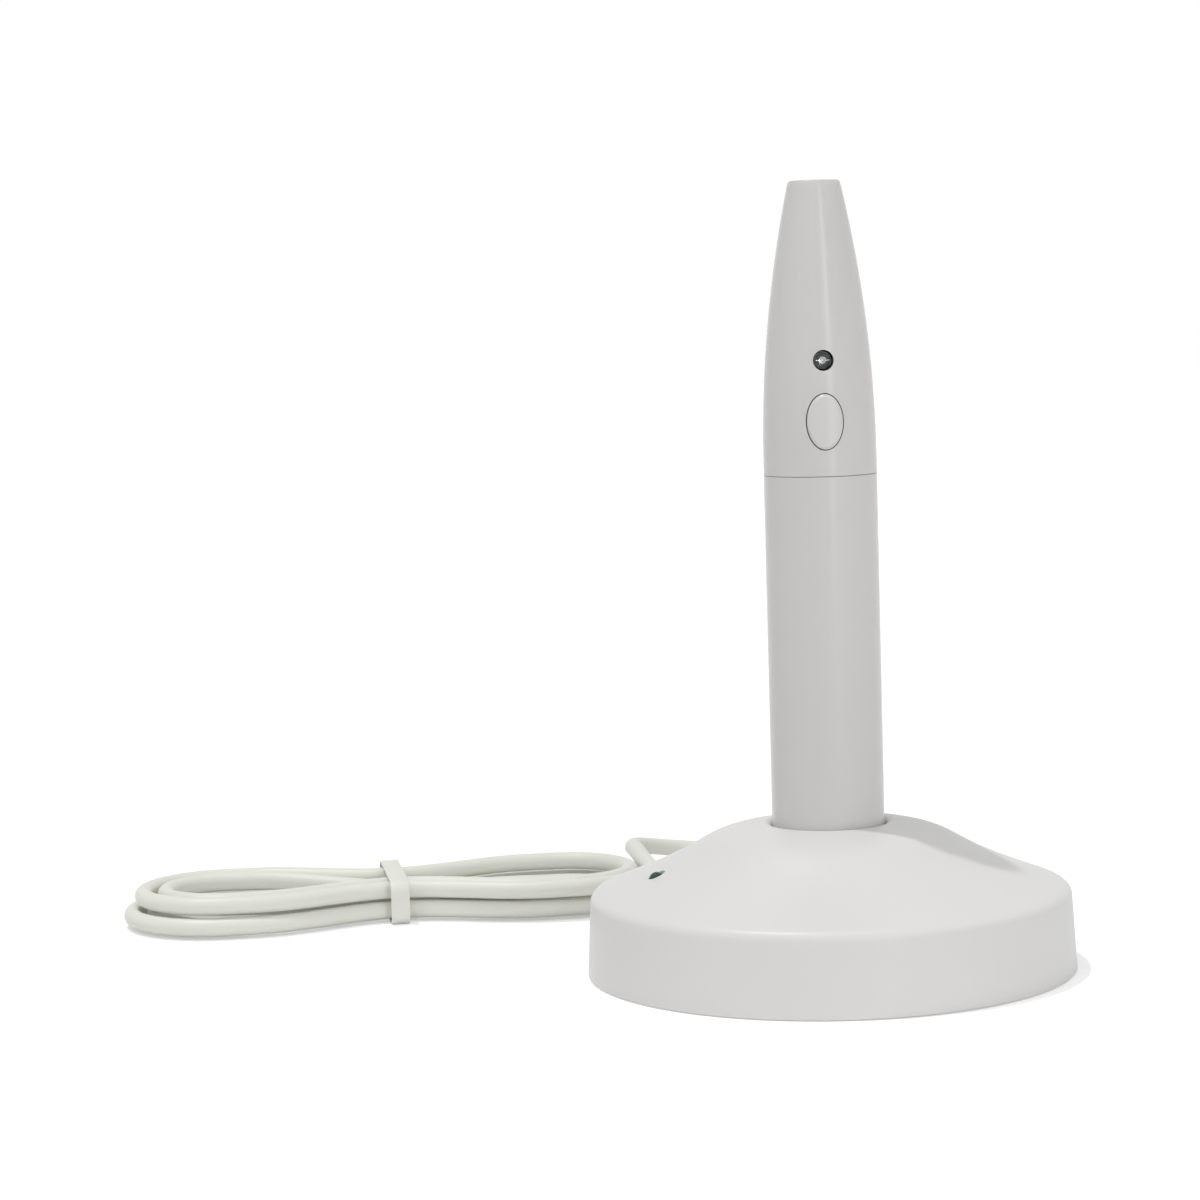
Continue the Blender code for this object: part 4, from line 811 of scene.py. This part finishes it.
# band round the waist of the hank
tieSet = {"half": 14.9, "low": 0.4, "high": 9.1, "corner": 2.0, "width": 4.0, "thick": 0.4, "edge": 0.12,
          "edgeAngle": 50, "smooth": 40}


def makeTie():
    s = tieSet
    wide = s["half"] - s["corner"]
    middle = (s["low"] + s["high"]) / 2
    tall = (s["high"] - s["low"]) / 2 - s["corner"]
    loop = []
    for cy, cz, start in ((wide, middle + tall, 0), (-wide, middle + tall, 90), (-wide, middle - tall, 180),
                          (wide, middle - tall, 270)):
        loop += arc(cy, cz, s["corner"], start, start + 90, 6)
    tie = drawn("hankTie", [Vector((-s["width"] / 2, y, z)) * mm for y, z in loop + loop[:1]])
    bpy.ops.mesh.extrude_edges_move(TRANSFORM_OT_translate={"value": (s["width"] * mm, 0, 0)})
    bpy.ops.mesh.select_all(action="SELECT")
    bpy.ops.mesh.normals_make_consistent(inside=False)
    bpy.ops.object.mode_set(mode="OBJECT")
    tie.location = (leadSet["middle"][0] * mm, leadSet["middle"][1] * mm, 0)
    tie.rotation_euler = (0, 0, hankTurn)
    applyPlace(tie)
    thick = tie.modifiers.new("thick", "SOLIDIFY")
    thick.thickness = s["thick"] * mm
    thick.offset = 1.0
    return bevelled(tie, s["edge"], 2, s["edgeAngle"], s["smooth"])


hankTie = settle(makeTie(), "base", "cord_jacket", "cord_tie")
print("relief and tie made")


# plug, modelled along its own axes: grip, metal shell, tongue with four contacts
plugSet = {"place": (-10.0, 120.0, 3.7), "neck": 8.0, "length": 22.0, "seat": 2.0, "gap": 0.3,
           "shell": (12.0, 12.0, 4.5), "wall": 0.4, "past": 4.0}
gripEnd = plugSet["neck"] + plugSet["length"]
shellBack = gripEnd - plugSet["seat"] + plugSet["gap"]
shellFront = shellBack + plugSet["shell"][0]
shellHalf, shellHigh = plugSet["shell"][1] / 2, plugSet["shell"][2] / 2


def placed(piece):  # from the plug's own axes to where it lies
    piece.location = Vector(plugSet["place"]) * mm
    piece.rotation_euler = (0, 0, plugTurn)
    applyPlace(piece)
    return piece


gripSet = {"width": 14.6, "height": 7.4, "edge": 1.2, "ribs": 6, "ribStart": 5.0, "ribPitch": 1.9,
           "ribWide": 0.9, "ribDepth": 0.3, "ribAside": 2.6, "ribEdge": 0.25, "neckRadius": 3.1,
           "neckEnd": 2.3, "neckSink": 1.0, "rings": 3, "ringPitch": 2.2, "ringDepth": 0.25, "ringRise": 0.1,
           "ringGroove": (0.1, 0.8), "ringEdge": 0.95, "endEdge": 0.2, "neckSteps": 48}


def makeGrip():
    s = gripSet
    start, past = plugSet["neck"], plugSet["past"]
    half, high = s["width"] / 2, s["height"] / 2
    grip = bevelled(block("plugGrip", (start, -half, -high), (gripEnd, half, high)), s["edge"], 5)
    ribHalf = half - s["ribAside"]
    for i in range(s["ribs"]):  # finger ribs sunk into both flat sides
        x = start + s["ribStart"] + s["ribPitch"] * i
        for side in (-1, 1):
            low, top = sorted((side * (high - s["ribDepth"]), side * (high + past)))
            rib = block("ribCut", (x, -ribHalf, low), (x + s["ribWide"], ribHalf, top))
            cutWith(grip, bevelled(rib, s["ribEdge"], 2))
    sink = s["neckSink"]
    line = [(0.0, start + sink), (s["neckRadius"], start + sink), (s["neckRadius"], start - sink)]
    near, far = s["ringGroove"]
    for i in range(s["rings"]):  # rings on the neck
        x = start - sink - s["ringPitch"] * i
        radius = s["neckRadius"] - (s["neckRadius"] - s["neckEnd"]) * (i + 1) / s["rings"]
        root = radius - s["ringDepth"]
        line += [(root, x - near), (root, x - far), (radius + s["ringRise"], x - s["ringEdge"])]
    line += [(s["neckEnd"], s["endEdge"]), (s["neckEnd"] - s["endEdge"], 0.0), (0.0, 0.0)]
    neck = spun("plugNeck", line, s["neckSteps"], "Y", closed=False)
    neck.rotation_euler = (0, 0, -math.pi / 2)
    applyPlace(neck)
    cutWith(grip, neck, "UNION")
    seat = gripEnd - plugSet["seat"]
    seatY, seatZ = shellHalf + plugSet["gap"], shellHigh + plugSet["gap"]
    cutWith(grip, block("seatCut", (seat, -seatY, -seatZ), (gripEnd + past, seatY, seatZ)))
    return placed(grip)


shellSet = {"edge": 0.5, "back": 1.0, "hollowEdge": 0.2, "window": 2.4, "windowBack": 6.5,
            "windowAside": 3.0, "windowSink": 0.5, "seamBack": 2.5, "seamHalf": 0.06, "seamDepth": 0.15}


def makeShell():
    s = shellSet
    wall, past = plugSet["wall"], plugSet["past"]
    shell = block("plugShell", (shellBack, -shellHalf, -shellHigh), (shellFront, shellHalf, shellHigh))
    bevelled(shell, s["edge"])
    hollow = block("hollow", (shellBack + s["back"], wall - shellHalf, wall - shellHigh),
                   (shellFront + past, shellHalf - wall, shellHigh - wall))
    cutWith(shell, bevelled(hollow, s["hollowEdge"], 2))
    x, half = shellFront - s["windowBack"], s["window"] / 2
    for y in (-s["windowAside"], s["windowAside"]):  # latch windows in the top
        low = (x, y - half, shellHigh - wall - s["windowSink"])
        cutWith(shell, block("window", low, (x + s["window"], y + half, shellHigh + past)))
    seam = block("seam", (shellBack + s["seamBack"], -s["seamHalf"], -shellHigh - past),
                 (shellFront + past, s["seamHalf"], s["seamDepth"] - shellHigh))
    cutWith(shell, seam)  # where the sheet meets underneath
    return placed(shell)


tongueSet = {"back": 1.6, "short": 0.5, "gap": 0.3, "thick": 1.8, "edge": 0.25,
             "contacts": (-3.5, -1.0, 1.0, 3.5), "contactWide": 1.0, "contactBack": 1.0, "contactShort": 0.7,
             "contactSink": 0.1, "contactProud": 0.12, "contactEdge": 0.08}


def makeTongue():
    s = tongueSet
    back, front = gripEnd - plugSet["seat"] + s["back"], shellFront - s["short"]
    half = shellHalf - plugSet["wall"] - s["gap"]
    low = plugSet["wall"] + s["gap"] - shellHigh
    top = low + s["thick"]
    tongue = bevelled(block("plugTongue", (back, -half, low), (front, half, top)), s["edge"])
    strips = []
    half = s["contactWide"] / 2
    for y in s["contacts"]:
        strip = block("plugContact", (back + s["contactBack"], y - half, top - s["contactSink"]),
                      (front - s["contactShort"], y + half, top + s["contactProud"]))
        strips.append(bevelled(strip, s["contactEdge"], 2))
    return placed(tongue), placed(joined(strips))


plugGrip = settle(makeGrip(), "base", "cord_jacket", "plug_grip")
plugShell = settle(makeShell(), "base", "nickel_plate", "plug_shell")
plugTongue, plugContacts = makeTongue()
settle(plugTongue, "base", "dark_plastic", "plug_tongue")
settle(plugContacts, "base", "gold_plate")
print("plug made")


# springs, wound finer than the solids
tailSpringSet = {"radius": 4.6, "wire": 0.9, "low": 14.6, "high": 19.3, "turns": 3.5}
pinSpringSet = {"radius": 0.75, "wire": 0.3, "low": 4.7, "high": 6.4, "turns": 2.5}
pinPlaces = {"centre": 0.0, "ring": 5.3}
coilSteps = 36  # points on one turn of a spring
coilRoundness = 4


def coil(name, s, y=0.0):
    count = int(s["turns"] * coilSteps)
    line = []
    for i in range(count + 1):
        angle = math.radians(360 / coilSteps * i)
        z = s["low"] + s["wire"] / 2 + (s["high"] - s["low"] - s["wire"]) * i / count
        line.append((s["radius"] * math.cos(angle), y + s["radius"] * math.sin(angle), z))
    makeActive(bentRod(name, line, s["wire"], coilRoundness))
    bpy.ops.object.convert(target="MESH")
    return bpy.context.object


settle(coil("tailSpring", tailSpringSet), "barrel", "nickel_plate", "tail_spring")
for label, y in pinPlaces.items():
    pinSpring = coil("pinSpring_" + label, pinSpringSet, y)
    settle(pinSpring, "base", "zinc_steel", "pin_spring_" + label)
    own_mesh(pinSpring)
print("springs made")

# thread on the spigot, one start, 3 mm pitch
threadSet = {"radius": 9.28, "height": 0.22, "sunk": 0.1, "rootHalf": 0.6, "crestHalf": 0.2, "pitch": 3.0,
             "low": 91.0, "turns": 1.25, "steps": 160}


def makeThread():
    s = threadSet
    root, crest = s["radius"] - s["sunk"], s["radius"] + s["height"]
    corners = [(root, -s["rootHalf"]), (crest, -s["crestHalf"]), (crest, s["crestHalf"]),
               (root, s["rootHalf"]), (root, -s["rootHalf"])]
    ridge = drawn("spigotThread", [Vector((r, 0, s["low"] + z)) * mm for r, z in corners])
    bpy.ops.object.mode_set(mode="OBJECT")
    screw = ridge.modifiers.new("screw", "SCREW")
    screw.angle = 2 * math.pi * s["turns"]
    screw.screw_offset = s["pitch"] * s["turns"] * mm
    screw.steps = s["steps"]
    screw.render_steps = s["steps"]
    applyAll(ridge)
    bpy.ops.object.mode_set(mode="EDIT")
    bpy.ops.mesh.select_all(action="SELECT")
    bpy.ops.mesh.fill_holes(sides=8)
    bpy.ops.mesh.select_all(action="SELECT")
    bpy.ops.mesh.normals_make_consistent(inside=False)
    bpy.ops.object.mode_set(mode="OBJECT")
    smoothEdges(ridge)
    return ridge


settle(makeThread(), "front", "shell_plastic")

# the lead rides with the base
settle(chargeLead, "base", "cord_jacket", "cord_lead", "cord_hank", "cord_tail")

# solids that stay as they are get the finish of their slot
nodeFinish = {
    "base_plate": "base_plastic", "base_ballast": "zinc_steel", "charge_board": "board_laminate",
    "contact_block": "dark_plastic", "pin_sleeve_centre": "gold_plate", "pin_sleeve_ring": "gold_plate",
    "charge_pin_centre": "gold_plate", "charge_pin_ring": "gold_plate", "tail_cap": "shell_plastic",
    "tail_contact_centre": "gold_plate", "tail_contact_ring": "gold_plate", "battery_cell": "cell_sleeve",
    "board_carrier": "natural_plastic", "control_board": "board_laminate", "front_contact": "gold_plate",
    "switch_body": "dark_plastic", "switch_stem": "natural_plastic", "socket_lead_left": "dark_plastic",
    "socket_lead_right": "seal_rubber",
}
for number in range(1, 5):
    nodeFinish["base_foot_%d" % number] = "foot_rubber"
    nodeFinish["base_screw_%d" % number] = "zinc_steel"
for name, slot in nodeFinish.items():
    nodes[name].data.materials.clear()
    nodes[name].data.materials.append(finishes[slot])
print("solids finished,", len(nodeFinish))


# stage, in metres: white floor and surroundings, one lamp high on the left, a soft strip in front
stageSet = {"floorSize": 8.0, "floorColour": (0.86, 0.86, 0.86), "floorGrain": 300.0, "floorDim": 0.995,
            "floorLift": 0.36, "ambient": 0.44, "ambientFront": 0.205, "ambientTop": 0.15,
            "ambientRight": -0.04, "keyPlace": (-0.3, 0.0, 1.2), "keyFrom": (-0.2255, 0.058, 0.9724),
            "keyStrength": 1.02, "keyAngle": 1.6, "stripPlace": (0.387, -1.136, 0.36),
            "stripAim": (0.0, 0.0, 0.1), "stripSize": (0.11, 0.7), "stripPower": 2.5}


def seenRays(wire):  # 1 where the camera, a gloss or clear plastic looks straight at it
    ray = wire.node("ShaderNodeLightPath", out="Is Camera Ray")
    mirrored = wire.sum("MAXIMUM", ray, ray.other("Is Glossy Ray"))
    return wire.sum("MAXIMUM", mirrored, ray.other("Is Transmission Ray"))


deselect()
bpy.ops.mesh.primitive_plane_add(size=stageSet["floorSize"], location=(0, 0, 0))
floor = bpy.context.object
floor.name = "stageFloor"
floorFinish, floorShader, wire, place = startFinish(
    "floorPaper", {"Roughness": 0.9, "Specular IOR Level": 0.0})
paper = noiseOf(wire, place, stageSet["floorGrain"])
white = stageSet["floorColour"]
paper.mixed(shade(white, stageSet["floorDim"]), shade(white, 1.0)).into(floorShader, "Base Color")
lift = wire.node("ShaderNodeEmission", {}, {"Strength": seenRays(wire) * stageSet["floorLift"]})
both = wire.node("ShaderNodeAddShader", {}, {0: Wire(wire.tree, floorShader.outputs[0]), 1: lift})
both.into(floorFinish.node_tree.nodes["Material Output"], "Surface")
floor.data.materials.append(floorFinish)

world = bpy.data.worlds.new("studio")
scene.world = world
world.use_nodes = True
sky = Wire(world.node_tree)
seen = seenRays(sky)
backdrop = world.node_tree.nodes["Background"]
backdrop.inputs["Color"].default_value = (1, 1, 1, 1)
way = sky.node("ShaderNodeTexCoord", out="Generated")
right = sky.node("ShaderNodeSeparateXYZ", {}, {0: way})
soft = (stageSet["ambient"] + right * stageSet["ambientRight"] - right.other("Y") * stageSet["ambientFront"]
        + right.other("Z") * stageSet["ambientTop"])
(soft * (1 - seen) + seen).into(backdrop, "Strength")


def addLamp(kind, name, place, way):
    deselect()
    bpy.ops.object.light_add(type=kind, location=place)
    lamp = bpy.context.object
    lamp.name = name
    lamp.rotation_mode = "QUATERNION"
    lamp.rotation_quaternion = way.to_track_quat("Z", "Y")
    return lamp.data


key = addLamp("SUN", "keyLamp", stageSet["keyPlace"], Vector(stageSet["keyFrom"]))
key.energy = stageSet["keyStrength"]
key.angle = math.radians(stageSet["keyAngle"])
stripWay = Vector(stageSet["stripPlace"]) - Vector(stageSet["stripAim"])
strip = addLamp("AREA", "stripLamp", stageSet["stripPlace"], stripWay)
strip.shape = "RECTANGLE"
strip.size, strip.size_y = stageSet["stripSize"]
strip.energy = stageSet["stripPower"]
print("stage lit")
